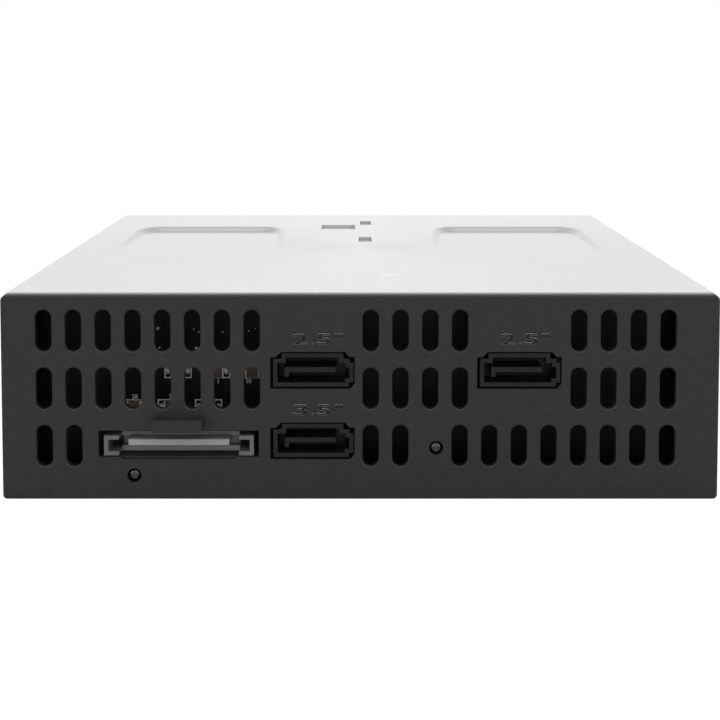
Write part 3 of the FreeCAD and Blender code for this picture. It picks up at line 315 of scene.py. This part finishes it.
def makeFlatCable():
    # Grey PVC ribbon: one round ridge for each core
    look = {"ridgeMm": 1.0, "low": "#77797b", "high": "#9a9c9e", "depthMm": 0.12}
    material, tree, shader, place = newMaterial("greyRibbonPvc")
    setShader(shader, ior=1.52, specular=0.4)
    ridges = addNode(
        tree, "ShaderNodeTexWave", {"bands_direction": "Z"}, {"Scale": 0.314 / (look["ridgeMm"] * mm)},
        {"Vector": place},
    ).outputs["Fac"]
    tree.links.new(mixColours(tree, ridges, look["low"], look["high"]), shader.inputs["Base Color"])
    tree.links.new(spread(tree, ridges, 0.6, 0.42), shader.inputs["Roughness"])
    bump(tree, shader, ridges, look["depthMm"])
    return material


zincSheet = makeZincSheet()
traySheet = makeTraySheet()
# the rim colour in this finish is a painted glint on the edges of the openings
panelAbs = makeMoulding("sparkTexturedAbs", {  # fine even grain that breaks every highlight up
    "low": "#0f0f0f", "high": "#242424", "grainMm": 0.42, "cloudMm": 1.6, "smooth": 0.4, "rough": 0.7,
    "depthMm": 0.11, "specular": 0.34, "rimGlint": "#2d2d2d",
})
innerAbs = makeMoulding("plainMouldedAbs", {  # the inner mouldings, smoother and a little greyer
    "low": "#1c1c1e", "high": "#28282a", "grainMm": 0.5, "cloudMm": 12, "smooth": 0.42, "rough": 0.55,
    "depthMm": 0.015, "specular": 0.4,
})
bezelAbs = makeMoulding("satinMouldedAbs", {  # the front moulding: satin black with a very fine grain
    "low": "#141416", "high": "#1d1d20", "grainMm": 0.22, "cloudMm": 18, "smooth": 0.4, "rough": 0.56,
    "depthMm": 0.02, "specular": 0.45,
})
markAbs = makeMoulding("polishedAbs", {  # the raised figures, smooth where the tool was polished
    "low": "#0c0c0d", "high": "#131314", "grainMm": 0.5, "cloudMm": 6, "smooth": 0.2, "rough": 0.3,
    "depthMm": 0.01, "specular": 0.22,
})
edgeAbs = makeMoulding("glintEdgeAbs", {  # their edges, a painted glint in light grey
    "low": "#5a5a5b", "high": "#707071", "grainMm": 0.3, "cloudMm": 1, "smooth": 0.2, "rough": 0.35,
    "depthMm": 0.01, "specular": 0.8,
})
connectorLcp = makeMoulding("glassFilledLcp", {  # connector bodies: crisp, dark grey, faint flow marks
    "low": "#0b0b0c", "high": "#151516", "grainMm": 0.4, "cloudMm": 4, "smooth": 0.3, "rough": 0.46,
    "depthMm": 0.012, "specular": 0.24,
})
greyLcp = makeMoulding("greyGlassFilledLcp", {  # the power inlet's light grey body
    "low": "#878589", "high": "#98969a", "grainMm": 0.35, "cloudMm": 3, "smooth": 0.4, "rough": 0.55,
    "depthMm": 0.012, "specular": 0.5,
})
guideLcp = makeMoulding("darkGreyGlassFilledLcp", {  # the guide posts, a darker grey than the inlet's body
    "low": "#58575a", "high": "#68676a", "grainMm": 0.35, "cloudMm": 3, "smooth": 0.4, "rough": 0.55,
    "depthMm": 0.012, "specular": 0.4,
})
buttonAbs = makeMoulding("greyMouldedAbs", {  # power buttons: mid grey, silky
    "low": "#5c5d60", "high": "#67686b", "grainMm": 0.25, "cloudMm": 5, "smooth": 0.32, "rough": 0.42,
    "depthMm": 0.008, "specular": 0.5,
})
chipResin = makeMoulding("mouldedEpoxyResin", {  # chip packages: dead black with a sandy face
    "low": "#111112", "high": "#1d1d1e", "grainMm": 0.2, "cloudMm": 3, "smooth": 0.6, "rough": 0.75,
    "depthMm": 0.015, "specular": 0.35,
})
capSleeve = makeMoulding("shrinkSleeve", {  # capacitor sleeve: tight glossy film
    "low": "#15171c", "high": "#20232b", "grainMm": 0.8, "cloudMm": 4, "smooth": 0.2, "rough": 0.34,
    "depthMm": 0.01, "specular": 0.5,
})
padRubber = makeMoulding("siliconeRubber", {  # door pads: soft, matt, dusty black
    "low": "#1d1d1d", "high": "#2b2b2b", "grainMm": 0.3, "cloudMm": 6, "smooth": 0.7, "rough": 0.85,
    "depthMm": 0.02, "specular": 0.3,
})
lampResin = makeMoulding("diffusedEpoxyLens", {  # lamp bodies: milky water-clear epoxy
    "low": "#c9d8d0", "high": "#dfe9e4", "grainMm": 0.4, "cloudMm": 2, "smooth": 0.2, "rough": 0.3,
    "depthMm": 0.005, "specular": 0.5,
})
brownCeramic = makeMoulding("firedBrownCeramic", {  # chip capacitors: fine-grained, chalky brown
    "low": "#5a463e", "high": "#735a50", "grainMm": 0.2, "cloudMm": 2, "smooth": 0.45, "rough": 0.6,
    "depthMm": 0.01, "specular": 0.45,
})
whiteInk = makeMoulding("printedWhiteInk", {  # board legend: thin, slightly uneven print
    "low": "#ecece8", "high": "#fafaf6", "grainMm": 0.25, "cloudMm": 3, "smooth": 0.55, "rough": 0.7,
    "depthMm": 0.008, "specular": 0.4,
})
screwSteel = makeMetal("nickelPlatedSteel", {  # screws and pins: bright, with turning marks
    "low": "#93928f", "high": "#aeada9", "grainMm": 0.3, "smooth": 0.2, "rough": 0.34, "depthMm": 0.006,
})
blackAndShadedScrewSteel = makeMetal("blackSteelAndPaintedShade", {  # the two slim screws: black plated, darkened further as a painted shade of their deep holes, glossy
    "low": "#4c4a46", "high": "#5c5a55", "grainMm": 0.3, "smooth": 0.12, "rough": 0.2, "depthMm": 0.004,
})
springSteel = makeMetal("springSteel", {  # drawn wire, a little darker and sleek
    "low": "#8d8f92", "high": "#a9abae", "grainMm": 0.3, "smooth": 0.22, "rough": 0.36, "depthMm": 0.004,
})
contactGold = makeMetal("goldFlashedBronze", {  # spring contacts: thin warm gold
    "low": "#c39b4f", "high": "#ddb96a", "grainMm": 0.2, "smooth": 0.2, "rough": 0.32, "depthMm": 0.003,
})
solderTin = makeMetal("reflowedTin", {  # solder: bright, wet-looking, slightly frosted
    "low": "#e6e6e2", "high": "#f6f6f2", "grainMm": 0.25, "smooth": 0.3, "rough": 0.45, "depthMm": 0.006,
    "metallic": 0.02,
})
lightPipe = makeLightPipe()
ribbonPvc = makeFlatCable()
boardMask = makeSolderMask()

nodeFinishes = {
    "rear_panel": panelAbs, "front_bezel": bezelAbs, "bay_deck": innerAbs, "bay_wall": innerAbs,
    "bay_rail": innerAbs, "large_door": bezelAbs, "left_door": bezelAbs, "right_door": bezelAbs,
    "top_cover": zincSheet, "base_tray": traySheet, "bay_divider": traySheet,
    "power_inlet_guides": guideLcp, "board_screws": blackAndShadedScrewSteel,
}
slotFinishes = {
    "sheet_steel": traySheet, "board": boardMask, "chip_resin": chipResin, "socket_plastic": connectorLcp,
    "screw_steel": screwSteel, "spring_steel": springSteel, "can_sleeve": capSleeve,
    "contact_metal": contactGold, "cable_film": ribbonPvc, "pad_rubber": padRubber,
    "clear_plastic": lightPipe, "button_plastic": buttonAbs, "grey_moulding": greyLcp,
    "lamp_resin": lampResin, "cover_sheet": zincSheet, "black_moulding": innerAbs,
}
slotOf = {part["node"]: part["material_slot"] for part in frame["record"]["subparts"]}
bodyOf = {node: body for body, nodes in frame["record"]["behaviour"]["bodies"].items() for node in nodes}
for nodeName, node in frame["nodes"].items():
    finish = nodeFinishes.get(nodeName, slotFinishes[slotOf[nodeName]])
    node.data.materials.clear()
    node.data.materials.append(finish)
print("materials: every CAD node has its finish")


# Edges that a tool or a mould leaves slightly round

softEdges = {  # node: radius in mm, smallest and largest corner in degrees, flat faces joined first
    "data_port_1": (0.08, 40, 180, True), "data_port_2": (0.08, 40, 180, True),
    "data_port_3": (0.08, 40, 180, True), "power_inlet": (0.07, 40, 180, True),
    "power_inlet_guides": (0.08, 40, 180, True), "front_bezel": (0.15, 40, 180, True),
    "large_door": (0.12, 40, 180, False), "left_door": (0.12, 40, 180, False),
    "right_door": (0.12, 40, 180, False), "power_button_1": (0.3, 40, 180, True),
    "power_button_2": (0.3, 40, 180, True), "power_button_3": (0.3, 40, 180, True),
}


def copyNode(nodeName, newName):
    # a merged copy of a CAD node, left in edit mode with everything selected
    pick(frame["nodes"][nodeName])
    bpy.ops.object.duplicate()
    piece = bpy.context.view_layer.objects.active
    piece.name = newName
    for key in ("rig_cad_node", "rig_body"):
        if key in piece:
            del piece[key]
    piece.data.name = piece.name
    bpy.ops.object.mode_set(mode="EDIT")
    bpy.ops.mesh.select_all(action="SELECT")
    bpy.ops.mesh.customdata_custom_splitnormals_clear()
    bpy.ops.mesh.remove_doubles(threshold=0.002 * mm)
    return piece


def softenNode(nodeName, radiusMm, smallest, largest, joinFlats):
    piece = copyNode(nodeName, nodeName + "Soft")
    if joinFlats:
        bpy.ops.mesh.dissolve_limited(angle_limit=math.radians(0.5))
    bpy.ops.mesh.select_mode(type="EDGE")
    for corner, weight in ((smallest, 1.0), (largest, -1.0)):
        bpy.ops.mesh.select_all(action="DESELECT")
        bpy.ops.mesh.edges_select_sharp(sharpness=math.radians(corner))
        bpy.ops.transform.edge_bevelweight(value=weight)
    bpy.ops.object.mode_set(mode="OBJECT")
    bpy.ops.object.shade_smooth_by_angle(angle=math.radians(smallest - 8))
    applyModifier(
        piece, "BEVEL", width=radiusMm * mm, segments=3, limit_method="WEIGHT",
        use_clamp_overlap=False, miter_outer="MITER_ARC", harden_normals=True,
    )
    dress(piece, frame["nodes"][nodeName].data.materials[0], bodyOf[nodeName])
    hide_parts(nodeName)


for nodeName, look in softEdges.items():
    softenNode(nodeName, *look)
print("edges: softened", len(softEdges), "nodes")


# The cover's two ramps, with the soft bends that a press leaves

pressing = {  # mm: behind the cover's rear edge, or beside its middle line, to the middle of each wall
    "front": 125.8, "end": 61.0, "inner": (22.1, 18.6), "outer": (61.4, 60.2), "corner": (5.5, 12.0),
    "bend": 2.6, "depth": 1.3, "fade": 0.8, "sheet": 0.8,
    "nearest": 15, "farthest": 66, "foremost": 130,  # the sheet that the ramps lie in
    "cutsBeside": ((16.5, 24.5, 0.5), (25, 29, 1), (54, 58, 1), (58.5, 63.5, 0.5)),
    "cutsBehind": ((61, 106, 5), (108, 121, 1), (121.5, 128, 0.5)),
}
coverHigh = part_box("top_cover")[1]


def pressedDepth(beside, behind):
    look = pressing
    share = min(max((look["front"] - behind) / (look["front"] - look["end"]), 0), 1)
    inner, outer = [look[side][0] + (look[side][1] - look[side][0]) * share for side in ("inner", "outer")]
    ahead = look["front"] - behind
    inside = ahead
    wide, long = look["corner"]
    for reach in (beside - inner, outer - beside):
        u, v = 1 - reach / wide, 1 - ahead / long
        if min(u, v) > 0:
            reach = (1 - math.hypot(u, v)) * math.hypot(u, v) / math.hypot(u / wide, v / long)
        inside = min(inside, reach)
    bend = min(max(inside / look["bend"] + 0.5, 0), 1)
    return look["depth"] * (1 - share) ** look["fade"] * bend * bend * (3 - 2 * bend)


def onRamp(face):
    beside, behind = abs(face.center.x) / mm, (coverHigh.y - face.center.y) / mm
    return (
        pressing["nearest"] < beside < pressing["farthest"]
        and pressing["end"] < behind < pressing["foremost"]
    )


def cutLines(ranges):
    lines = []
    for start, stop, cell in ranges:
        lines += [start + cell * i for i in range(round((stop - start) / cell) + 1)]
    return lines


def pressCover():
    look = pressing
    cover = copyNode("top_cover", "top_coverPressed")
    bpy.ops.object.mode_set(mode="OBJECT")
    levels = {1: coverHigh.z, -1: coverHigh.z - look["sheet"] * mm}
    for face in cover.data.polygons:  # the plain ramps are let back up first
        inSheet = face.center.z > coverHigh.z - 3 * mm and abs(face.normal.z) > 0.5
        if inSheet and onRamp(face):
            for corner in face.vertices:
                cover.data.vertices[corner].co.z = levels[1 if face.normal.z > 0 else -1]
    bpy.ops.object.mode_set(mode="EDIT")
    bpy.ops.mesh.select_all(action="SELECT")
    bpy.ops.mesh.dissolve_limited(angle_limit=math.radians(0.5))
    planes = []
    for line in cutLines(look["cutsBeside"]):
        planes += [((side * line * mm, 0, 0), (1, 0, 0)) for side in (-1, 1)]
    for line in cutLines(look["cutsBehind"]):
        planes.append(((0, coverHigh.y - line * mm, 0), (0, 1, 0)))
    for place, facing in planes:
        bpy.ops.mesh.select_all(action="SELECT")
        bpy.ops.mesh.bisect(plane_co=place, plane_no=facing, threshold=0.0001 * mm)
    bpy.ops.object.mode_set(mode="OBJECT")
    for vertex in cover.data.vertices:
        if min(abs(vertex.co.z - level) for level in levels.values()) < 0.01 * mm:
            depth = pressedDepth(abs(vertex.co.x) / mm, (coverHigh.y - vertex.co.y) / mm)
            vertex.co.z -= depth * mm
    bpy.ops.object.mode_set(mode="EDIT")
    bpy.ops.mesh.select_all(action="DESELECT")
    bpy.ops.object.mode_set(mode="OBJECT")
    for face in cover.data.polygons:  # the cuts are cleared again wherever nothing is pressed
        face.select = not onRamp(face)
    bpy.ops.object.mode_set(mode="EDIT")
    bpy.ops.mesh.dissolve_limited(angle_limit=math.radians(0.3))
    bpy.ops.object.mode_set(mode="OBJECT")
    bpy.ops.object.shade_smooth_by_angle(angle=math.radians(17))
    dress(cover, zincSheet, bodyOf["top_cover"])
    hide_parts("top_cover")


pressCover()
print("cover: ramps pressed")


# Raised bay sizes above the data ports

fontSize = 1.39  # letter size for a figure one unit high
portMarks = {
    "raise": 0.3, "sunk": 0.05, "recess": 0.3, "lift": 6.44, "height": 2.35, "bevel": 0.1,
    "texts": {"data_port_1": "2.5\"", "data_port_2": "2.5\"", "data_port_3": "3.5\""},
    "centres": (2.6, 0.1, -2.1, -5.1), "widths": (3.2, 0.6, 2.95, 1.7),
    "heights": {".": 0.5, "\"": 1.0}, "levels": {".": -0.92, "\"": 0.67},
}


def flatText(name, text):
    # reads from behind the cage, on a face that looks along +Y
    bpy.ops.object.text_add(location=(0, 0, 0), rotation=(math.radians(90), 0, math.radians(180)))
    words = bpy.context.view_layer.objects.active
    words.name = name
    words.data.body = text
    words.data.align_x = "CENTER"
    words.data.align_y = "CENTER"
    return words


def meshText(words, centre, wide, high):
    # turned into a mesh, then brought to its width, height and centre
    pick(words)
    bpy.ops.object.convert(target="MESH")
    applyPlace(words)
    bpy.ops.object.origin_set(type="ORIGIN_GEOMETRY", center="BOUNDS")
    size = words.dimensions
    words.scale = (wide / size.x if wide else high / size.z, 1, high / size.z)
    words.location = centre
    applyPlace(words)
    return words


def makePortMarks():
    look = portMarks
    for nodeName, text in look["texts"].items():
        low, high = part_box(nodeName)
        middle = (low + high) / 2
        glyphs = []
        for glyph, shift, wide in zip(text, look["centres"], look["widths"]):
            words = flatText(nodeName + "Glyph", glyph)
            words.data.size = look["height"] * mm * fontSize
            words.data.extrude = (look["raise"] + look["sunk"]) * mm / 2 - look["bevel"] * mm
            words.data.bevel_depth = look["bevel"] * mm
            words.data.bevel_resolution = 1
            level = look["lift"] + look["levels"].get(glyph, 0)
            centre = Vector((
                middle.x + shift * mm, high.y + (look["recess"] + (look["raise"] - look["sunk"]) / 2) * mm,
                middle.z + level * mm,
            ))
            glyphs.append(meshText(words, centre, wide * mm, look["heights"].get(glyph, look["height"]) * mm))
        mark = joinPieces(glyphs, nodeName.replace("data_port", "baySize"))
        dress(mark, markAbs, "cage")
        # the figures' sides and bevels take the light grey finish, a painted glint
        mark.data.materials.append(edgeAbs)
        for face in mark.data.polygons:
            if abs(face.normal.y) < 0.95:
                face.material_index = 1


makePortMarks()
print("panel: bay sizes raised above the data ports")


# Small parts on the backplane, seen through the vents

boardParts = {
    "boxSize": (5.75, 3.5), "inkWidth": 0.24, "inkThick": 0.03, "bodySize": (3.1, 0.95, 2.9),
    "bodyBevel": 0.1, "blobSunk": 0.2, "tinWidth": 0.3, "numberHeight": 0.95, "numberBold": 0.04,
    "places": [(38.35, 24.4), (30.25, 24.4), (22.65, 24.4), (47.6, 16.4), (39.8, 16.4), (31.95, 16.4)],
    "blobReach": 2.1, "blobSize": (0.5, 0.7, 0.9),
    "numbers": {"28": (47.5, 18.75), "27": (39.6, 18.75), "1": (29.9, 22.05), "10": (23.4, 22.05)},
    "pins": [(42.5, 33.3, 0.38), (42.2, 29.2, 0.2), (34.4, 29.0, 0.4), (35.0, 33.1, 0.22),
             (33.9, 32.5, 0.22), (28.9, 32.5, 0.24), (23.4, 32.7, 0.2), (22.1, 33.3, 0.2)],
}
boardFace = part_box("backplane_board")[1].y


def makeOutline(x, z):
    # a printed frame: a flat plate, inset, with its middle taken out
    wide, high = boardParts["boxSize"]
    bpy.ops.mesh.primitive_plane_add(
        size=1, location=(x * mm, boardFace, z * mm), rotation=(math.radians(-90), 0, 0),
    )
    frameInk = bpy.context.view_layer.objects.active
    frameInk.scale = (wide * mm, high * mm, 1)
    applyPlace(frameInk)
    bpy.ops.object.mode_set(mode="EDIT")
    bpy.ops.mesh.select_all(action="SELECT")
    bpy.ops.mesh.inset(thickness=boardParts["inkWidth"] * mm)
    bpy.ops.mesh.delete(type="FACE")
    bpy.ops.mesh.select_all(action="SELECT")
    bpy.ops.mesh.extrude_region_move(TRANSFORM_OT_translate={"value": (0, boardParts["inkThick"] * mm, 0)})
    bpy.ops.mesh.select_all(action="SELECT")
    bpy.ops.mesh.normals_make_consistent(inside=False)
    bpy.ops.object.mode_set(mode="OBJECT")
    return frameInk


def makeChipCap(x, z):
    # brown body with a tinned cap at each end
    wide, deep, high = boardParts["bodySize"]
    bpy.ops.mesh.primitive_cube_add(size=1, location=(x * mm, boardFace + deep / 2 * mm, z * mm))
    body = bpy.context.view_layer.objects.active
    body.scale = (wide * mm, deep * mm, high * mm)
    applyPlace(body)
    body.data.materials.clear()
    body.data.materials.append(brownCeramic)
    body.data.materials.append(solderTin)
    for side in (-1, 1):
        cut = (x + side * (wide / 2 - boardParts["tinWidth"])) * mm
        bpy.ops.object.mode_set(mode="EDIT")
        bpy.ops.mesh.select_all(action="SELECT")
        bpy.ops.mesh.bisect(plane_co=(cut, 0, 0), plane_no=(1, 0, 0))
        bpy.ops.object.mode_set(mode="OBJECT")
    for face in body.data.polygons:
        if abs(face.center.x - x * mm) > (wide / 2 - boardParts["tinWidth"]) * mm:
            face.material_index = 1
    applyModifier(
        body, "BEVEL", width=boardParts["bodyBevel"] * mm, segments=2,
        limit_method="ANGLE", angle_limit=math.radians(40),
    )
    bpy.ops.object.shade_smooth_by_angle(angle=math.radians(35))
    return body


def makeBlob(x, z, size):
    # a wet bead of solder, sunk a little into its pad
    bpy.ops.mesh.primitive_uv_sphere_add(segments=16, ring_count=10, radius=1, location=(0, 0, 0))
    blob = bpy.context.view_layer.objects.active
    bpy.ops.object.mode_set(mode="EDIT")
    bpy.ops.mesh.select_all(action="SELECT")
    bpy.ops.mesh.bisect(
        plane_co=(0, -boardParts["blobSunk"], 0), plane_no=(0, 1, 0), use_fill=True, clear_inner=True,
    )
    bpy.ops.object.mode_set(mode="OBJECT")
    blob.location = (x * mm, boardFace + boardParts["blobSunk"] * size[1] * mm, z * mm)
    blob.scale = (size[0] * mm, size[1] * mm, size[2] * mm)
    applyPlace(blob)
    bpy.ops.object.shade_smooth_by_angle(angle=math.radians(50))
    return blob


def makeBoardParts():
    outlines = [makeOutline(x, z) for x, z in boardParts["places"]]
    for text, (x, z) in boardParts["numbers"].items():
        words = flatText("number" + text, text)
        words.data.size = boardParts["numberHeight"] * mm * fontSize
        words.data.offset = boardParts["numberBold"] * mm
        words.data.extrude = boardParts["inkThick"] * mm / 2
        centre = (x * mm, boardFace + boardParts["inkThick"] * mm / 2, z * mm)
        outlines.append(meshText(words, centre, None, boardParts["numberHeight"] * mm))
    dress(joinPieces(outlines, "boardLegend"), whiteInk)
    bodies = [makeChipCap(x, z) for x, z in boardParts["places"]]
    caps = joinPieces(bodies, "chipCapacitors")
    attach(caps, "cage")
    blobs = []
    for x, z in boardParts["places"]:
        for side in (-1, 1):
            blobs.append(makeBlob(x + side * boardParts["blobReach"], z, boardParts["blobSize"]))
    for x, z, radius in boardParts["pins"]:
        blobs.append(makeBlob(x, z, (radius, radius * 1.3, radius)))
    dress(joinPieces(blobs, "solderJoints"), solderTin)


makeBoardParts()
print("backplane: legend, chip capacitors and solder joints")


# Numbers beside the power buttons

buttonMarks = {"height": 1.9, "reach": 6.2, "thick": 0.04, "fieldDepth": 0.3}


def makeButtonNumbers():
    look = buttonMarks
    marks = []
    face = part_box("front_bezel")[0].y + look["fieldDepth"] * mm
    for place in (1, 2, 3):
        low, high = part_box("power_button_" + str(place))
        words = flatText("buttonNumber" + str(place), str(place))
        words.rotation_euler = (math.radians(90), 0, 0)
        words.data.size = look["height"] * mm * fontSize
        words.data.extrude = look["thick"] * mm / 2
        middle = (low + high) / 2
        centre = (middle.x + look["reach"] * mm, face - look["thick"] * mm / 2, middle.z)
        marks.append(meshText(words, centre, None, look["height"] * mm))
    dress(joinPieces(marks, "buttonNumbers"), whiteInk)


makeButtonNumbers()
print("front: a number beside each power button")


# Floor, light and camera

def makeFloor():
    look = {"size": 30, "low": "#f6f6f6", "high": "#fbfbfb", "fibreMm": 2.0, "seen": 0.75, "glow": 1.2}
    bpy.ops.mesh.primitive_plane_add(size=look["size"], location=(0, 0, cadBounds[0].z))
    floor = bpy.context.view_layer.objects.active
    floor.name = "floor"
    material, tree, shader, place = newMaterial("pearlPaper")
    setShader(shader, roughness=0.9, specular=0.1)
    fibre = grain(tree, place, look["fibreMm"], 3)
    tree.links.new(mixColours(tree, fibre, look["low"], look["high"]), shader.inputs["Base Color"])
    glow = addNode(tree, "ShaderNodeEmission", inputs={"Color": (1, 1, 1, 1), "Strength": look["glow"]})
    path = addNode(tree, "ShaderNodeLightPath")
    seen = addNode(  # the rest of what the camera sees is the lit paper, with the shadow
        tree, "ShaderNodeMath", {"operation": "MULTIPLY"}, {1: look["seen"]},
        {0: path.outputs["Is Camera Ray"]},
    )
    mix = addNode(
        tree, "ShaderNodeMixShader",
        links={0: seen.outputs["Value"], 1: shader.outputs["BSDF"], 2: glow.outputs["Emission"]},
    )
    out = [node for node in tree.nodes if node.type == "OUTPUT_MATERIAL"][0]
    tree.links.new(mix.outputs["Shader"], out.inputs["Surface"])
    floor.data.materials.append(material)


def makeWorld():
    # white where the camera or a reflection looks at it, softer where it lights the object
    look = {"seen": 1.0, "lighting": 0.42}
    world = bpy.data.worlds.new("studioWhite")
    bpy.context.scene.world = world
    world.use_nodes = True
    tree = world.node_tree
    tree.nodes.clear()
    path = addNode(tree, "ShaderNodeLightPath")
    mirrored = addNode(
        tree, "ShaderNodeMath", {"operation": "MAXIMUM"},
        links={0: path.outputs["Is Glossy Ray"], 1: path.outputs["Is Transmission Ray"]},
    )
    seen = addNode(
        tree, "ShaderNodeMath", {"operation": "MAXIMUM"},
        links={0: path.outputs["Is Camera Ray"], 1: mirrored.outputs["Value"]},
    )
    strength = spread(tree, seen.outputs["Value"], look["lighting"], look["seen"])
    sky = addNode(tree, "ShaderNodeBackground", inputs={"Color": (1, 1, 1, 1)}, links={"Strength": strength})
    addNode(tree, "ShaderNodeOutputWorld", links={"Surface": sky.outputs["Background"]})


def addSoftbox(name, place, target, size, radiance):
    # radiance 1 reads as a white card, so the watts come from the area
    light = bpy.data.lights.new(name, "AREA")
    light.shape = "RECTANGLE"
    light.size, light.size_y = size
    light.energy = radiance * size[0] * size[1] * math.pi
    box = bpy.data.objects.new(name, light)
    bpy.context.scene.collection.objects.link(box)
    box.location = place
    box.visible_camera = False
    box.rotation_euler = (Vector(target) - Vector(place)).to_track_quat("-Z", "Y").to_euler()


studio = {
    "overhead": {"place": (0, 0.1, 1.1), "size": (1.4, 0.9), "radiance": 0.8},
    "keyBehind": {"place": (0, 1.0, 0.8), "size": (1.3, 0.8), "radiance": 1.0},
    "lowFront": {"place": (0, -1.5, 0.42), "size": (2.4, 0.4), "radiance": 0.9},
    "leftEnd": {"place": (0.5, 0.5, 0.2), "size": (0.3, 0.4), "radiance": 1.4},
    "rightEnd": {"place": (-0.5, 0.5, 0.2), "size": (0.3, 0.4), "radiance": 1.4},
}
camera = {  # place in mm
    "place": (1.2, 385.9, 88.1), "pitch": 4.0, "lensMm": 75.62, "shift": (0.008, -0.26),
}
lightTarget = (0, 0, 0.02)

makeFloor()
makeWorld()
for name, look in studio.items():
    addSoftbox(name, look["place"], lightTarget, look["size"], look["radiance"])

lens = bpy.data.cameras.new("shopCamera")
lens.lens = camera["lensMm"]
lens.sensor_width = 36
lens.shift_x, lens.shift_y = camera["shift"]
lens.clip_start = 0.01
lens.clip_end = 20
cameraObject = bpy.data.objects.new("shopCamera", lens)
bpy.context.scene.collection.objects.link(cameraObject)
cameraObject.location = [value * mm for value in camera["place"]]
cameraObject.rotation_euler = (math.radians(90 - camera["pitch"]), 0, math.radians(180))
bpy.context.scene.camera = cameraObject
bpy.context.scene.view_settings.view_transform = "Standard"
print("studio: floor, lights and camera")
